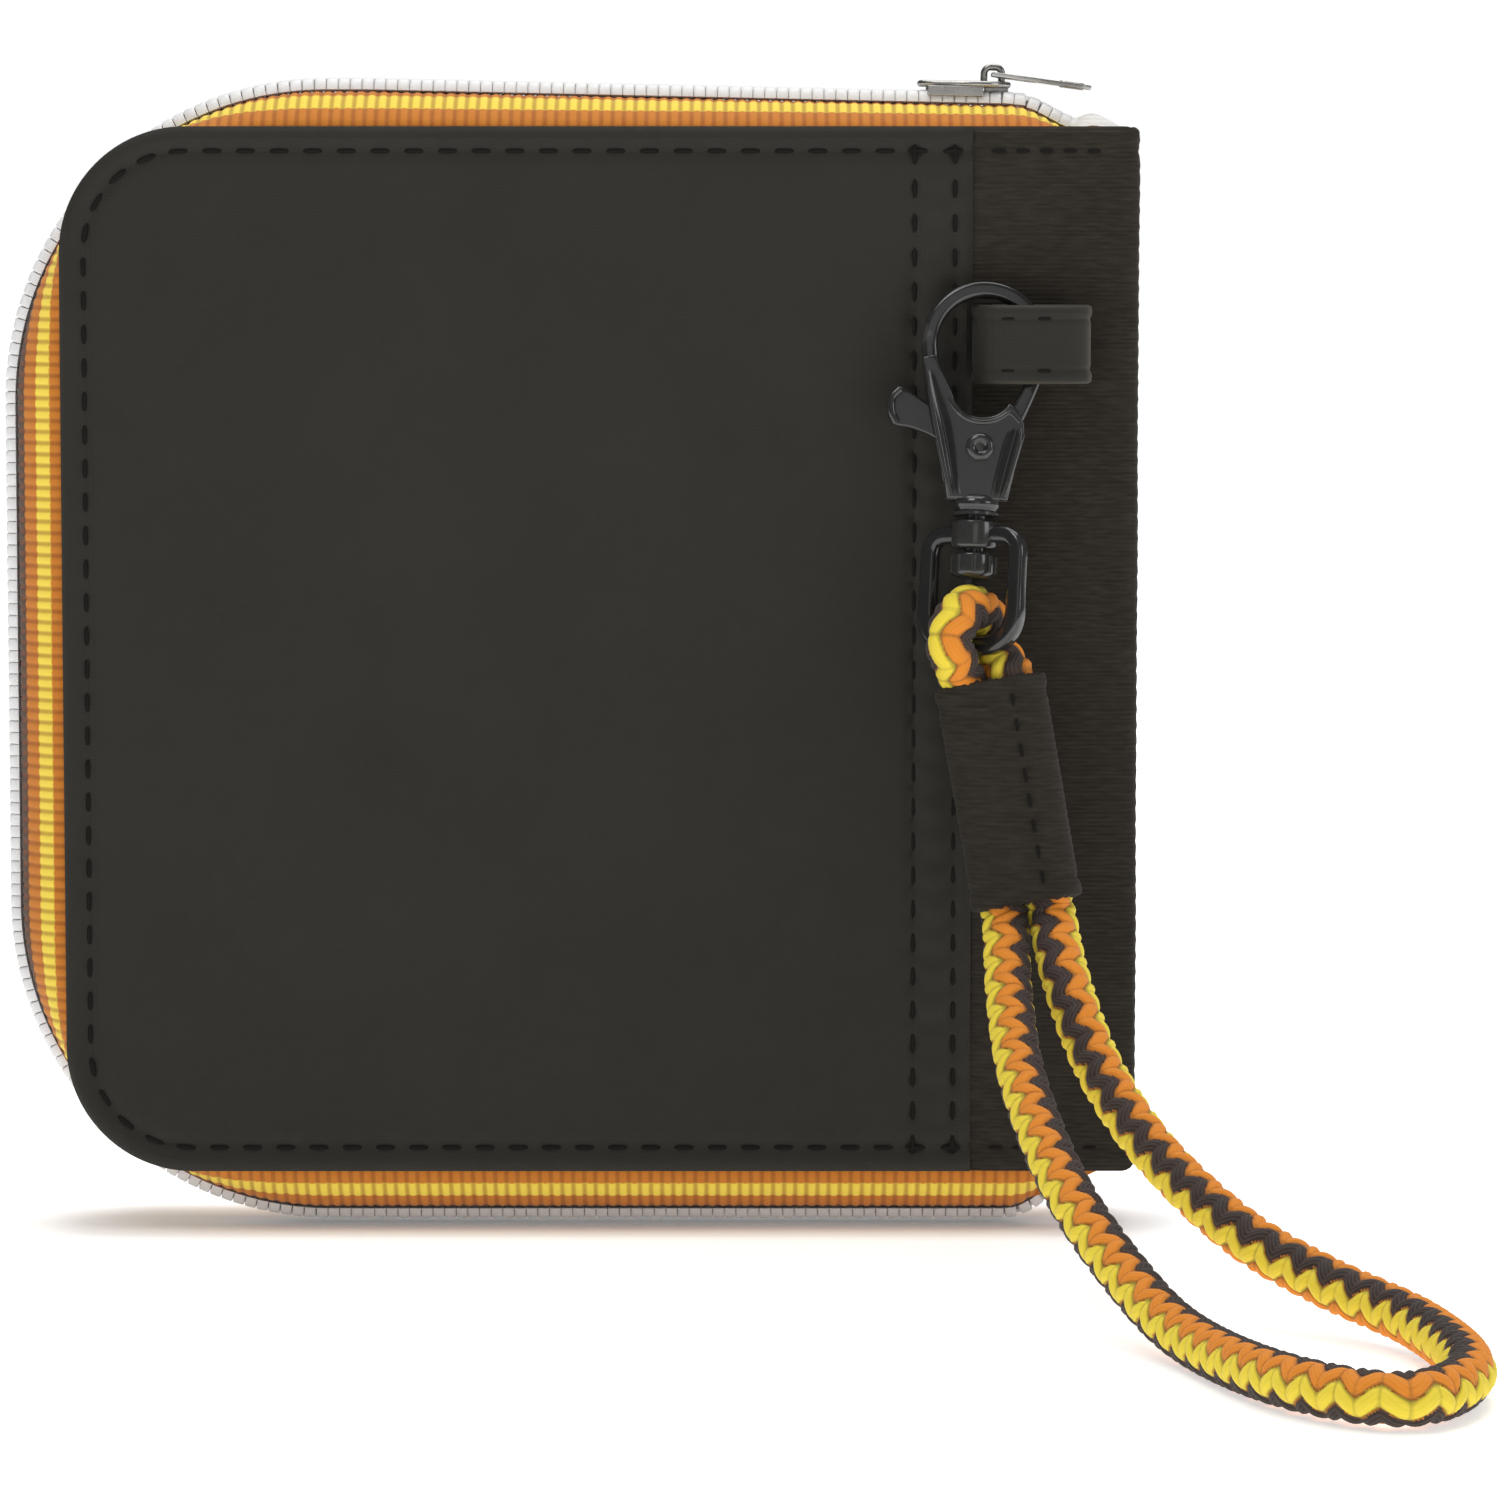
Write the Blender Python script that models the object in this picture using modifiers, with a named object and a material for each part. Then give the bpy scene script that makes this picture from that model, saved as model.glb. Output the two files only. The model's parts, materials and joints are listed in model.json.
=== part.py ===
"""Zip-around wallet with a snap hook and a braided wrist cord.

Lengths are in millimetres and become metres where a mesh is made. The origin is the centre of the back
cover's outer face. +X runs to the spine, +Z is up, and the front cover looks along -Y. The wallet is shut.
"""

import math

import bmesh
import bpy
from mathutils import Matrix, Vector

MM = 0.001

# Driving sizes of the shut wallet
OPEN_EDGE = -57.5
SPINE_FACE = 57.4
HALF_HEIGHT = 56.0
THICKNESS = 22.0
MIDDLE = -THICKNESS / 2
CORNER = 13.5

# Each half is a stack of layers: (depth of its outer face, depth of its inner face) under the half's face
COVER_LAYER = (0.0, 1.2)
STRIP_LAYER = (0.4, 1.2)
BOARD_LAYER = (1.5, 2.9)
LINING_LAYER = (3.2, 3.8)
FIRST_POCKET_LAYER = (4.1, 4.7)
POCKET_THICKNESS = 0.6
POCKET_STEP = 0.85
INNER_INSET = 2.5
SEAM_X = 39.7
STRIP_START = 40.0
STRIP_END = 56.2
LAYER_END = 53.6

# Gusset: each tape runs from a cover's edge out to the zip's teeth at mid-thickness
ARC_STEPS = 8
SEAM_OUTSET = -1.5
TAPE_OUTSET = {"top": 3.5, "side": 5.1, "bottom": 4.7}
GUSSET_RADIUS = 33.0
RAMP_STATIONS = (52.0, 50.0, 48.0, 46.0, 44.0)
RAMP_DROP = 4.5
# The zip's top side also falls gently towards the spine
SLOPE_START = -25.0
TOP_SLOPE = 0.022
TAPE_THICKNESS = 0.8
# (distance from mid-thickness, share of the way out) from the seam to the teeth
TAPE_SECTION = ((9.2, 0.0), (8.9, 0.33), (7.6, 0.6), (5.8, 0.82), (4.2, 0.96), (2.8, 1.0), (0.5, 1.0))
TEETH_NEAR = 0.4
TEETH_FAR = 2.6
TEETH_BASE = 0.8
TEETH_HEIGHT = 1.1
TEETH_END = 50.0

# Snap hook: modelled about its ring's centre, hanging down, then leaned out from the face
HOOK_CENTRE = Vector((40.8, -25.6, 33.0))
HOOK_TILT = math.radians(-9)
HOOK_LEAN = math.radians(3)
RING_OUTER = 6.7
RING_INNER = 4.9
RING_HALF_DEPTH = 1.05
BODY_HALF_DEPTH = 1.9
SLOT_HALF_DEPTH = 0.85
GATE_HALF_DEPTH = 0.65
GATE_PIVOT = -11.2
GATE_REACH = 13.6
GATE_CLEARANCE = 0.3
COLLAR_TOP = -16.2
COLLAR_BOTTOM = -18.4
EYE_TOP = -18.8
EYE_BOSS_BOTTOM = -21.9
EYE_HALF_WIDTH = 5.5
EYE_BAR = -32.0
EYE_WIRE = 0.95
EYE_TURN = math.radians(-35)

# Wrist cord and the sleeve that gathers it
CORD_RADIUS = 2.3
CROWN_RADIUS = 3.9
STRAND_OFFSET = 2.5
SLEEVE_TOP = Vector((41.3, -31.05, -3.3))
SLEEVE_BOTTOM = Vector((45.2, -34.4, -26.6))
SLEEVE_WALL = 0.7
SLEEVE_GAP = 0.35
STRAIGHT_PAST_SLEEVE = 0.8
CORD_STEP = 2.6
# The free loop, down one strand, round over the floor and up the other
FREE_LOOP = (
    (43.0, -43.0, -35.0),
    (44.0, -55.0, -42.0),
    (47.5, -70.0, -50.0),
    (52.7, -83.0, -56.5),
    (57.9, -96.0, -60.2),
    (65.4, -117.2, -60.2),
    (75.5, -125.7, -60.2),
    (82.6, -113.1, -60.2),
    (80.6, -91.9, -59.8),
    (72.3, -79.4, -57.6),
    (64.5, -71.0, -54.0),
    (57.0, -58.5, -48.0),
    (52.0, -48.5, -41.0),
    (49.0, -41.0, -33.0),
)

FACE_ON = Matrix.Rotation(math.radians(90), 4, "X")


# ---------------------------------------------------------------- scene, materials and placing


def clear_scene():
    for obj in list(bpy.data.objects):
        bpy.data.objects.remove(obj)


def new_collection(name):
    collection = bpy.data.collections.new(name)
    bpy.context.scene.collection.children.link(collection)
    return collection


def new_material(name, colour, roughness, metallic=0.0):
    material = bpy.data.materials.new(name)
    material.use_nodes = True
    shader = material.node_tree.nodes["Principled BSDF"]
    shader.inputs["Base Color"].default_value = (*colour, 1.0)
    shader.inputs["Roughness"].default_value = roughness
    shader.inputs["Metallic"].default_value = metallic
    return material


def add(name, data, material, frame=None, place=Matrix.Identity(4)):
    """A named object of the wallet, placed in its frame (an empty) or in the world. place is in millimetres."""
    obj = bpy.data.objects.new(name, data)
    PARTS.objects.link(obj)
    data.materials.append(material)
    location, rotation, _ = place.decompose()
    obj.location = location * MM
    obj.rotation_euler = rotation.to_euler()
    obj.parent = frame
    return obj


def add_frame(name, location, rotation=(0.0, 0.0, 0.0), parent=None):
    """An empty that carries pieces. Its location is in millimetres."""
    frame = bpy.data.objects.new(name, None)
    PARTS.objects.link(frame)
    frame.location = Vector(location) * MM
    frame.rotation_euler = rotation
    frame.parent = parent
    return frame


def as_helper(obj):
    PARTS.objects.unlink(obj)
    CUTTERS.objects.link(obj)
    obj.hide_render = True
    obj.display_type = "WIRE"
    return obj


# ---------------------------------------------------------------- outlines


def arc(centre, radius, start, end, steps):
    """Points on an arc from start to end degrees, both ends included."""
    angles = [math.radians(start + (end - start) * i / steps) for i in range(steps + 1)]
    return [(centre[0] + radius * math.cos(a), centre[1] + radius * math.sin(a)) for a in angles]


def smooth(x):
    x = min(1.0, max(0.0, x))
    return x * x * (3 - 2 * x)


def panel_outline(outset, right, radius):
    """A cover's outline (x, z): round corners on the open side, square ones at x = right."""
    left = OPEN_EDGE - outset
    high = HALF_HEIGHT + outset
    points = [(right, -high), (right, high)]
    points += arc((left + radius, high - radius), radius, 90, 180, ARC_STEPS)
    points += arc((left + radius, -high + radius), radius, 180, 270, ARC_STEPS)
    return points


def slope_fall(x):
    return TOP_SLOPE * max(0.0, x - SLOPE_START)


def gusset_path(outset, radius, drop, end):
    """Points (x, z) round the three open sides, from the spine's top corner to its bottom corner."""
    top = HALF_HEIGHT + outset["top"]
    bottom = -HALF_HEIGHT - outset["bottom"]
    left = OPEN_EDGE - outset["side"]
    run = [x for x in RAMP_STATIONS if x <= end]
    length = RAMP_STATIONS[0] - RAMP_STATIONS[-1]
    fall = [drop * smooth((x - RAMP_STATIONS[-1]) / length) for x in run]
    slope_end = slope_fall(RAMP_STATIONS[0])
    share = drop / RAMP_DROP
    points = [(x, top - share * slope_fall(x) - f * (1 - slope_end / RAMP_DROP)) for x, f in zip(run, fall)]
    points.append((SLOPE_START, top))
    points += arc((left + radius, top - radius), radius, 90, 180, ARC_STEPS)
    points += arc((left + radius, bottom + radius), radius, 180, 270, ARC_STEPS)
    points += [(x, bottom + f) for x, f in reversed(list(zip(run, fall)))]
    return points


def shifted(outset, by):
    return {side: value + by for side, value in outset.items()}


# ---------------------------------------------------------------- solids


def outline_curve(loops, half_thickness):
    curve = bpy.data.curves.new("outline", "CURVE")
    curve.dimensions = "2D"
    curve.fill_mode = "BOTH"
    curve.extrude = half_thickness * MM
    for points in loops:
        spline = curve.splines.new("POLY")
        spline.points.add(len(points) - 1)
        for slot, (x, y) in zip(spline.points, points):
            slot.co = (x * MM, y * MM, 0.0, 1.0)
        spline.use_cyclic_u = True
    return curve


def plate(name, loops, y_range, material, frame=None):
    """A flat piece whose outline lies in the XZ plane, between two depths y."""
    low, high = y_range
    place = Matrix.Translation((0, (low + high) / 2, 0)) @ FACE_ON
    return add(name, outline_curve(loops, (high - low) / 2), material, frame, place)


def as_mesh(obj):
    """The same object as a mesh with its caps welded on, so that it can be cut or joined."""
    bpy.context.view_layer.update()
    evaluated = obj.evaluated_get(bpy.context.evaluated_depsgraph_get())
    mesh = bpy.data.meshes.new_from_object(evaluated)
    shape = bmesh.new()
    shape.from_mesh(mesh)
    bmesh.ops.remove_doubles(shape, verts=shape.verts, dist=1e-6)
    bmesh.ops.recalc_face_normals(shape, faces=shape.faces)
    shape.to_mesh(mesh)
    shape.free()
    name, frame, basis = obj.name, obj.parent, obj.matrix_basis.copy()
    bpy.data.objects.remove(obj)
    solid = bpy.data.objects.new(name, mesh)
    PARTS.objects.link(solid)
    solid.parent = frame
    solid.matrix_basis = basis
    return solid


def box(name, low, high, material, frame=None):
    low, high = Vector(low), Vector(high)
    shape = bmesh.new()
    bmesh.ops.create_cube(shape, size=1.0)
    bmesh.ops.scale(shape, vec=(high - low) * MM, verts=shape.verts)
    mesh = bpy.data.meshes.new(name)
    shape.to_mesh(mesh)
    shape.free()
    return add(name, mesh, material, frame, Matrix.Translation((low + high) / 2))


def rod(name, start, end, radius, material, frame=None, sides=20):
    start, end = Vector(start), Vector(end)
    shape = bmesh.new()
    bmesh.ops.create_cone(
        shape,
        cap_ends=True,
        segments=sides,
        radius1=radius * MM,
        radius2=radius * MM,
        depth=(end - start).length * MM,
    )
    mesh = bpy.data.meshes.new(name)
    shape.to_mesh(mesh)
    shape.free()
    turn = (end - start).to_track_quat("Z", "Y").to_matrix().to_4x4()
    return add(name, mesh, material, frame, Matrix.Translation((start + end) / 2) @ turn)


def turned(name, profile, material, frame=None, place=Matrix.Identity(4), steps=20):
    """A round piece from its (radius, height) profile, listed from the top down."""
    mesh = bpy.data.meshes.new(name)
    points = [(r * MM, 0.0, z * MM) for r, z in profile]
    mesh.from_pydata(points, [(i, i + 1) for i in range(len(points) - 1)], [])
    obj = add(name, mesh, material, frame, place)
    screw = obj.modifiers.new("Turn", "SCREW")
    screw.steps = screw.render_steps = steps
    screw.use_merge_vertices = True
    screw.merge_threshold = 0.00001
    return obj


def wire(name, points, radius, material, frame=None, closed=False, roundness=2):
    curve = bpy.data.curves.new(name, "CURVE")
    curve.dimensions = "3D"
    curve.bevel_depth = radius * MM
    curve.bevel_resolution = roundness
    curve.use_fill_caps = not closed
    spline = curve.splines.new("POLY")
    spline.points.add(len(points) - 1)
    for slot, point in zip(spline.points, points):
        slot.co = (*(Vector(point) * MM), 1.0)
    spline.use_cyclic_u = closed
    return add(name, curve, material, frame)


def sheet(name, rows, thickness, material, frame=None):
    """A fabric sheet: an open grid of points, given thickness on both sides."""
    mesh = bpy.data.meshes.new(name)
    across = len(rows[0])
    points = [Vector(p) * MM for row in rows for p in row]
    faces = [
        (r * across + c, r * across + c + 1, (r + 1) * across + c + 1, (r + 1) * across + c)
        for r in range(len(rows) - 1)
        for c in range(across - 1)
    ]
    mesh.from_pydata(points, [], faces)
    obj = add(name, mesh, material, frame)
    solidify = obj.modifiers.new("Thickness", "SOLIDIFY")
    solidify.thickness = thickness * MM
    solidify.offset = 0.0
    return obj


def combine(target, tool, operation):
    modifier = target.modifiers.new(operation.title(), "BOOLEAN")
    modifier.operation = operation
    modifier.solver = "EXACT"
    modifier.object = as_helper(tool)


def rounded(obj, width, segments=2):
    bevel = obj.modifiers.new("Edges", "BEVEL")
    bevel.width = width * MM
    bevel.segments = segments
    bevel.limit_method = "ANGLE"


# ---------------------------------------------------------------- one half of the wallet


def half_depths(half, layer):
    """The y range of a layer: the front half's layers count from y = -THICKNESS, the back half's from 0."""
    if half == "front":
        return (-THICKNESS + layer[0], -THICKNESS + layer[1])
    return (-layer[1], -layer[0])


def build_half(half, materials):
    """Cover, spine strip, board and lining of one half."""
    side = {"front": "front_", "back": "back_"}[half]
    outer = panel_outline(0.0, SEAM_X, CORNER)
    inner = panel_outline(-INNER_INSET, LAYER_END, CORNER - INNER_INSET)
    strip = [
        (STRIP_START, -HALF_HEIGHT),
        (STRIP_END, -HALF_HEIGHT),
        (STRIP_END, HALF_HEIGHT),
        (STRIP_START, HALF_HEIGHT),
    ]
    plate(side + "cover", [outer], half_depths(half, COVER_LAYER), materials["coated"])
    plate(side + "spine_strip", [strip], half_depths(half, STRIP_LAYER), materials["ribbed"])
    plate(side + "board", [inner], half_depths(half, BOARD_LAYER), materials["board"])
    plate(side + "lining", [inner], half_depths(half, LINING_LAYER), materials["lining"])
    build_gusset(half, side, materials)


def build_gusset(half, side, materials):
    """The half's zip tape and its row of teeth, round the three open sides."""
    sign = -1 if half == "front" else 1
    radius = GUSSET_RADIUS
    seam = gusset_path(dict.fromkeys(TAPE_OUTSET, SEAM_OUTSET), CORNER + SEAM_OUTSET, 0.0, RAMP_STATIONS[0])
    crest = gusset_path(TAPE_OUTSET, radius, RAMP_DROP, RAMP_STATIONS[0])
    rows = []
    for (seam_x, seam_z), (crest_x, crest_z) in zip(seam, crest):
        rows.append(
            [
                (
                    seam_x + (crest_x - seam_x) * share,
                    MIDDLE + sign * away,
                    seam_z + (crest_z - seam_z) * share,
                )
                for away, share in TAPE_SECTION
            ]
        )
    sheet(side + "zip_tape", rows, TAPE_THICKNESS, materials["tape"])
    under = gusset_path(shifted(TAPE_OUTSET, TEETH_BASE), radius + TEETH_BASE, RAMP_DROP, TEETH_END)
    reach = TEETH_BASE + TEETH_HEIGHT
    over = gusset_path(shifted(TAPE_OUTSET, reach), radius + reach, RAMP_DROP, TEETH_END)
    depths = sorted((MIDDLE + sign * TEETH_NEAR, MIDDLE + sign * TEETH_FAR))
    plate(side + "zip_teeth", [under + over[::-1]], depths, materials["teeth"])


# ---------------------------------------------------------------- inside


def rectangle(left, right, low, high):
    return [(left, low), (right, low), (right, high), (left, high)]


POCKET_LEFT = -46.0
POCKET_RIGHT = 46.0
POCKET_FLOOR = -49.0
BILL_POCKET_TOP = 42.0
CARD_POCKET_TOPS = (31.0, 19.0, 7.0, -5.0)
SLIP_POCKET_TOP = 30.0


def build_pockets(materials):
    full = rectangle(POCKET_LEFT - 2, POCKET_RIGHT + 2, POCKET_FLOOR, BILL_POCKET_TOP)
    plate("bill_pocket", [full], half_depths("back", FIRST_POCKET_LAYER), materials["lining"])
    start = FIRST_POCKET_LAYER[1] + 0.3
    for number, top in enumerate(CARD_POCKET_TOPS, 1):
        outline = rectangle(POCKET_LEFT, POCKET_RIGHT, POCKET_FLOOR, top)
        depths = half_depths("back", (start, start + POCKET_THICKNESS))
        plate(f"card_pocket_{number}", [outline], depths, materials["lining"])
        start += POCKET_STEP
    slip = rectangle(POCKET_LEFT, POCKET_RIGHT, POCKET_FLOOR, SLIP_POCKET_TOP)
    plate("slip_pocket", [slip], half_depths("front", FIRST_POCKET_LAYER), materials["lining"])


PAGE_Y = -11.1
POUCH_LEFT = -40.0
POUCH_RIGHT = 53.4
POUCH_FLOOR = -46.0
POUCH_TOP = 40.0
POUCH_HALF_DEPTH = 1.8
POUCH_WALL = 0.6
COIN_TAPE_TOP = 44.5
COIN_TEETH_NEAR = 0.35
COIN_TEETH_FAR = 1.7
COIN_TEETH_SPAN = (45.0, 46.0)
COIN_ZIP_LEFT = -38.0
COIN_ZIP_RIGHT = 51.0


def build_coin_pouch(materials):
    """The zipped coin pouch is a page that stands on the spine between the two halves."""
    pouch = box(
        "coin_pouch",
        (POUCH_LEFT, PAGE_Y - POUCH_HALF_DEPTH, POUCH_FLOOR),
        (POUCH_RIGHT, PAGE_Y + POUCH_HALF_DEPTH, POUCH_TOP),
        materials["lining"],
    )
    half_inside = POUCH_HALF_DEPTH - POUCH_WALL
    hollow = box(
        "pouch_hollow",
        (POUCH_LEFT + POUCH_WALL, PAGE_Y - half_inside, POUCH_FLOOR + POUCH_WALL),
        (POUCH_RIGHT - POUCH_WALL, PAGE_Y + half_inside, POUCH_TOP + 5),
        materials["lining"],
    )
    combine(pouch, hollow, "DIFFERENCE")
    section = ((0.35, COIN_TAPE_TOP), (1.9, COIN_TAPE_TOP), (2.1, 43.4), (0.85, 40.0), (0.85, 35.0))
    for side, sign in (("front", -1), ("rear", 1)):
        rows = [
            [(x, PAGE_Y + sign * away, z) for away, z in section]
            for x in (COIN_ZIP_LEFT, COIN_ZIP_RIGHT)
        ]
        sheet(f"coin_zip_tape_{side}", rows, 0.4, materials["plain_tape"])
        near, far = sorted((PAGE_Y + sign * COIN_TEETH_NEAR, PAGE_Y + sign * COIN_TEETH_FAR))
        box(
            f"coin_zip_teeth_{side}",
            (COIN_ZIP_LEFT, near, COIN_TEETH_SPAN[0]),
            (COIN_ZIP_RIGHT, far, COIN_TEETH_SPAN[1]),
            materials["teeth"],
        )


def build_spine(materials):
    box(
        "spine_strip",
        (SPINE_FACE - 0.8, -THICKNESS + 1.6, -HALF_HEIGHT),
        (SPINE_FACE, -1.6, HALF_HEIGHT),
        materials["ribbed"],
    )
    box("spine_board", (54.9, -18.4, -53.0), (55.9, -3.6, 53.0), materials["board"])
    box("spine_lining", (54.0, -18.0, -53.0), (54.6, -4.0, 53.0), materials["lining"])
    build_coin_pouch(materials)


# ---------------------------------------------------------------- zip sliders


def build_slider(prefix, place, tilt, size, materials):
    """A slider and its pull. place is the middle of its wedge end, on the teeth's underside."""
    metal = materials["slider_metal"]
    frame = add_frame(prefix + "slider_frame", place, (0.0, tilt, 0.0))
    half_width, length, bridge_half = (size[key] for key in ("half_width", "length", "bridge_half"))
    plate_low = size["teeth"] + 0.3
    plate_high = plate_low + size["plate"]
    foot_high = -size["tape"] - 0.35
    foot_low = foot_high - size["plate"]
    slider = box(prefix + "slider", (-length, -half_width, plate_low), (0, half_width, plate_high), metal, frame)
    foot_half = size["foot_half"]
    foot = box(prefix + "slider_foot", (-length, -foot_half, foot_low), (0, foot_half, foot_high), metal, frame)
    post_half = size["post_half"]
    wedge = box(
        prefix + "slider_wedge",
        (-0.28 * length, -post_half, foot_low + 0.2),
        (-0.02 * length, post_half, plate_high - 0.2),
        metal,
        frame,
    )
    window = size["window"]
    leg = size["leg"]
    right = -0.06 * length
    left = right - window - 2 * leg
    roof = plate_high + window
    arch_outline = [
        (left, plate_high - 0.3),
        (left, roof + 0.2 * leg),
        (left + 0.8 * leg, roof + leg),
        (right - 0.8 * leg, roof + leg),
        (right, roof + 0.2 * leg),
        (right, plate_high - 0.3),
        (right - leg, plate_high - 0.3),
        (right - leg, roof),
        (left + leg, roof),
        (left + leg, plate_high - 0.3),
    ]
    bridge = as_mesh(plate(prefix + "slider_bridge", [arch_outline], (-bridge_half, bridge_half), metal, frame))
    for piece in (foot, wedge, bridge):
        combine(slider, piece, "UNION")
    pivot = Vector((right - leg - 0.36 * window, 0.0, plate_high + 0.62 * window))
    build_pull(prefix + "slider_pull", pivot, frame, size, materials)


def build_pull(name, pivot, slider_frame, size, materials):
    """A pull that hangs from the bridge: a ring round the bridge, then a tongue."""
    frame = add_frame(name + "_frame", pivot, (0.0, size["droop"], 0.0), slider_frame)
    hole = size["pull_hole"]
    length = size["pull_length"]
    thick = size["pull_thick"] / 2
    inner = size["bridge_half"] + 0.35
    outer = inner + 0.8
    pull = box(name, (-thick, -outer, -thick), (length, outer, thick), materials["slider_metal"], frame)
    opening = box(
        name + "_opening",
        (thick, -inner, -thick - 1),
        (hole, inner, thick + 1),
        materials["slider_metal"],
        frame,
    )
    combine(pull, opening, "DIFFERENCE")


MAIN_SLIDER = {
    "half_width": 3.5,
    "foot_half": 3.4,
    "length": 10.0,
    "teeth": TEETH_HEIGHT,
    "tape": 1.05,
    "plate": 0.7,
    "bridge_half": 0.9,
    "post_half": 0.2,
    "window": 1.2,
    "leg": 0.7,
    "pull_hole": 4.6,
    "pull_length": 10.6,
    "pull_thick": 0.6,
    "droop": math.radians(6.5),
}
COIN_SLIDER = {
    "half_width": 2.3,
    "foot_half": 1.55,
    "length": 6.5,
    "teeth": COIN_TEETH_SPAN[1] - COIN_TEETH_SPAN[0],
    "tape": 0.7,
    "plate": 0.7,
    "bridge_half": 0.6,
    "post_half": 0.18,
    "window": 1.5,
    "leg": 0.7,
    "pull_hole": 3.1,
    "pull_length": 7.5,
    "pull_thick": 0.8,
    "droop": math.radians(8),
}
SLIDER_NOSE = 44.0


# ---------------------------------------------------------------- loop, hook and swivel

TAB_HALF_HEIGHT = 4.2
TAB_THICKNESS = 0.7


def build_tab_loop(materials):
    """A folded tab sewn into the cover's seam. The hook's ring hangs in it."""
    face = -THICKNESS + STRIP_LAYER[0]
    fold = arc((48.5, 3.5), 2.85, 90, -90, 6)
    section = [(39.4, 0.9), (39.7, 3.4), (40.5, 5.3), (42.5, 6.35), *fold, (41.7, 0.65)]
    rows = [[(x, face - out, z) for z in (-TAB_HALF_HEIGHT, TAB_HALF_HEIGHT)] for x, out in section]
    centre = HOOK_CENTRE.z
    rows = [[(x, y, z + centre) for x, y, z in row] for row in rows]
    sheet("tab_loop", rows, TAB_THICKNESS, materials["coated"])


def ring_point(radius, degrees):
    angle = math.radians(degrees)
    return (radius * math.cos(angle), radius * math.sin(angle))


def build_hook(frame, materials):
    """A fixed claw with a slotted body. The gate closes its right side, and its rivet crosses the slot."""
    metal = materials["black_metal"]
    claw_outline = (
        arc((0, 0), RING_OUTER, 9.5, 180, 14)
        + [(-6.2, -4.0), (-5.4, -8.5), (-3.7, -8.5), (-4.6, -3.0)]
        + arc((0, 0), RING_INNER, 180, 24.5, 14)
    )
    body_outline = (
        [(-6.55, -1.6), (-3.2, -16.8), (3.2, -16.8), (4.9, -9.2), (3.6, -7.3)]
        + arc((0, -4.6), 3.4, -35, -160, 8)
        + [(-4.75, -1.6)]
    )
    depth = RING_HALF_DEPTH
    claw = as_mesh(plate("hook_claw", [claw_outline], (-depth, depth), metal, frame))
    depth = BODY_HALF_DEPTH
    body = as_mesh(plate("hook_body", [body_outline], (-depth, depth), metal, frame))
    body.data.materials.append(metal)
    combine(body, claw, "UNION")
    collar = rod("hook_collar", (0, 0, COLLAR_TOP), (0, 0, COLLAR_BOTTOM), 2.6, metal, frame)
    combine(body, collar, "UNION")
    slot_depth = SLOT_HALF_DEPTH
    slot = box("gate_slot", (-9, -slot_depth, -14.6), (9, slot_depth, -4.2), metal, frame)
    combine(body, slot, "DIFFERENCE")
    rivet_hole = rod("rivet_hole", (0, -4, GATE_PIVOT), (0, 4, GATE_PIVOT), 0.95, metal, frame, 16)
    combine(body, rivet_hole, "DIFFERENCE")
    pin_hole = rod("pin_hole", (0, 0, -15.3), (0, 0, COLLAR_BOTTOM - 2), 1.35, metal, frame, 16)
    combine(body, pin_hole, "DIFFERENCE")

    head = BODY_HALF_DEPTH + 0.15
    across = Matrix.Translation((0, 0, GATE_PIVOT)) @ FACE_ON
    profile = [(0, head + 0.5), (1.1, head + 0.4), (1.5, head), (0.7, head)]
    profile += [(r, -z) for r, z in reversed(profile)]
    turned("gate_rivet", profile, metal, frame, across, 16)

    pin_profile = [(0, -15.6), (1.05, -15.6), (1.05, -22.3), (2.0, -22.3), (2.2, -22.6), (2.2, -24.6)]
    turned("swivel_pin", [*pin_profile, (1.9, -24.9), (0, -24.9)], metal, frame, steps=20)

    turns, per_turn, low, high = 4, 8, -14.3, -12.5
    spring = []
    for i in range(turns * per_turn + 1):
        angle = 2 * math.pi * i / per_turn
        height = low + (high - low) * i / (turns * per_turn)
        spring.append((-3.1 + 0.45 * math.cos(angle), 0.45 * math.sin(angle), height))
    wire("gate_spring", spring, 0.14, materials["spring_steel"], frame, roundness=0)


def build_gate(frame, materials):
    """The gate turns on the rivet. Its long arm meets the claw's tip and its thumb lever stands out on the left."""
    outline = (
        arc((0, 0), RING_OUTER - 0.1, 5.5, -32, 5)
        + arc((0, GATE_PIVOT), 2.3, -10, -150, 7)
        + [(-8.9, -9.5), (-9.9, -8.3), (-9.9, -6.2), (-8.9, -5.0), (-5.5, -6.6), (-2.0, -9.0)]
        + arc((0, 0), RING_INNER + 0.1, -52, 17.5, 7)
    )
    depth = GATE_HALF_DEPTH
    gate = as_mesh(plate("hook_gate", [outline], (-depth, depth), materials["black_metal"], frame))
    gate.data.materials.append(materials["black_metal"])
    bore = rod(
        "gate_bore", (0, -3, GATE_PIVOT), (0, 3, GATE_PIVOT), 1.0, materials["black_metal"], frame, 16
    )
    combine(gate, bore, "DIFFERENCE")


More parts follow.
